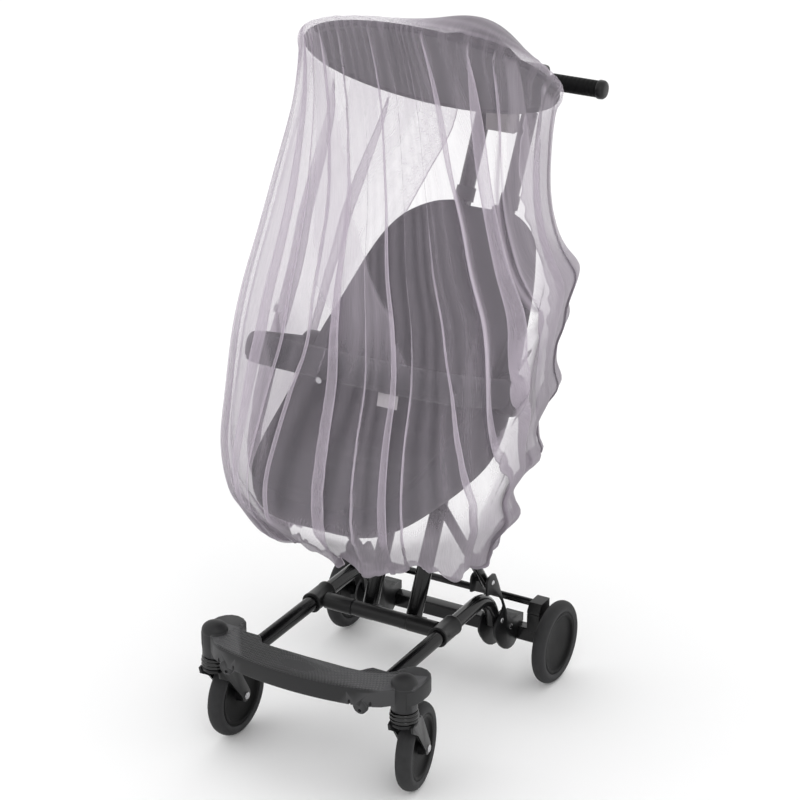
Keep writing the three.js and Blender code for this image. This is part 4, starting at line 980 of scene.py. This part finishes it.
lifted += 3.6 * crimp * edge_near * band(below, 0.3, 0.36, 0.93, 0.99)

# Layers of cloth that lie on each other, counted as thickness, and a painted shade that darkens the colour
# where many do and down the sides
thickness = 1 + 0.4 * gather + 4.0 * edged
for (left_top, right_top, start), (left_end, right_end, end), amount in PANELS:
    along = (below - start) / (end - start)
    from_left = angle - left_top - (left_end - left_top) * along
    from_right = angle - right_top - (right_end - right_top) * along
    inside = ease(from_left, -0.7, 0.7) * (1 - ease(from_right, -0.7, 0.7))
    creased = bell(from_left / 0.9) + bell(from_right / 0.9)
    thickness += amount * (inside + 0.45 * creased) * band(below, start, start + 0.02, end, end + 0.10)
from_crown = np.hypot(base[:, :, 0] - CROWN_X, base[:, :, 1] - CROWN_Y)
crown_share = (1 - ease(from_crown, 48, 150)) * (1 - ease(below, 0.228, 0.246))
creases = (0.5 + 0.5 * np.sin(below * 200 - angle * 0.07 + 1.2 * np.sin(angle * 0.05))) ** 2
over_hood = 1 - ease(below, 0.20, 0.25)
wrinkles = np.sin(share * 150 + below * 14 + 2 * np.sin(share * 33)) * np.sin(below * 60 + share * 25)
low = ease(below, 0.77, 0.90)
right_side = ease(angle, 84, 106) * ease(below, 0.27, 0.40)
ruffled = right_side * ease(below, 0.48, 0.60)
low_left_side = (1 - ease(angle, -62, -36)) * ease(below, 0.60, 0.78)
fan = np.sin(below * 150 + angle * 0.35 + np.sin(angle * 0.2)) ** 4 * band(below, 0.28, 0.33, 0.42, 0.52)
fan *= 1 - ease(angle - edge_left, 4, 26)
lifted += 0.8 * crown_share * creases + fan
thickness += crown_share * (5.0 + 2 * creases) + (0.3 + 0.6 * wrinkles ** 2) * over_hood
thickness += (2.0 + 1.6 * ease(angle, -30, 15)) * low + low_left_side
thickness += 1.7 * right_side + 1.6 * ruffled + 0.7 * fan
thickness += 0.8 * np.exp(-np.minimum(share, 1 - share) / 0.012)
thickness += 0.22 * np.sin(share * 310 + 2 * np.sin(share * 47))
# Painted shade: the cloth's colour is darkened where the layers crowd on the crown and at the hem, and down
# the right and lower left sides
painted_shade = 1 - 0.42 * low - 0.54 * crown_share * (1 - 0.25 * creases)
painted_shade -= (0.26 * right_side + 0.12 * ruffled + 0.22 * low_left_side) * (1 - low)
NET_ALPHA = 0.24
opacity = 1 - (1 - NET_ALPHA) ** np.clip(thickness, 0.6, 9)
outwards = unit(np.cross(unit(np.gradient(base, axis=1)), unit(np.gradient(base, axis=0))))
if (outwards * (base - base.mean(axis=1, keepdims=True))).sum() < 0:
    outwards = -outwards
net_points = net_form(np.clip(angle + moved, edge_left - 2, edge_right + 2)) + outwards * lifted[:, :, None]


def tulle(name, colour):
    """Sheer cloth, lit on both faces: a painted shade darkens its colour, streaks vary its painted opacity"""
    material, shader = finish(name, colour, 0.75, sheen=0.3)
    links = material.node_tree.links
    painted_shade_factor = add_node(material, "Attribute", attribute_name="painted_shade").outputs["Fac"]
    scaled = add_node(material, "VectorMath", {0: colour, "Scale": painted_shade_factor}, operation="SCALE")
    shade_darkened_colour = scaled.outputs["Vector"]
    links.new(shade_darkened_colour, shader.inputs["Base Color"])
    uv = add_node(material, "UVMap").outputs["UV"]
    stretched = add_node(material, "Mapping", {"Scale": (260, 5, 1), "Vector": uv}).outputs["Vector"]
    streaks = add_node(material, "TexNoise", {"Detail": 3, "Vector": stretched}).outputs["Fac"]
    varied = add_node(material, "MapRange", {"To Min": 0.7, "To Max": 1.3, "Value": streaks})
    painted = add_node(material, "Attribute", attribute_name="opacity")
    shares = {0: painted.outputs["Fac"], 1: varied.outputs["Result"]}
    alpha = add_node(material, "Math", shares, operation="MULTIPLY").outputs[0]
    glow = add_node(material, "BsdfTranslucent", {"Color": shade_darkened_colour}).outputs["BSDF"]
    both = add_node(material, "MixShader", {"Fac": 0.4, 1: shader.outputs["BSDF"], 2: glow}).outputs["Shader"]
    clear = add_node(material, "BsdfTransparent").outputs["BSDF"]
    sheer = add_node(material, "MixShader", {"Fac": alpha, 1: clear, 2: both}).outputs["Shader"]
    links.new(sheer, material.node_tree.nodes["Material Output"].inputs["Surface"])
    return material


lilac_tulle = tulle("lilac_tulle", (0.665, 0.603, 0.68))
net = grid_piece("net_sheet", metres(net_points), lilac_tulle)
# The painted opacity and the painted shade go onto the sheet as attributes
for layer, values in (("opacity", opacity), ("painted_shade", painted_shade)):
    painted = net.data.attributes.new(layer, "FLOAT", "POINT")
    painted.data.foreach_set("value", values.astype(np.float32).ravel())
fix_to_frame(net, "net_mesh", "net")
tape_look = {"mottle": 0.3, "patch": 0.004, "grain": 0.0006, "bump": 0.4}
edging, _ = mottled("lilac_edging", (0.70, 0.64, 0.71), 0.9, **tape_look)
border = np.concatenate([net_points[0], net_points[1:, -1], net_points[-1, -2::-1], net_points[-2::-1, 0]])
hem = bent_tube("net_hem", border.tolist(), 0.8, edging, 2)
fix_to_frame(hem, "net_mesh")
elastic, _ = mottled("lilac_grey_elastic", (0.13, 0.12, 0.13), 0.9, **tape_look)
low_left = (angle[-1] > -58) & (angle[-1] < 6)
elastic_line = bent_tube("net_elastic", net_points[-1][low_left].tolist(), 1.5, elastic, 2)
fix_to_frame(elastic_line, "net_mesh")
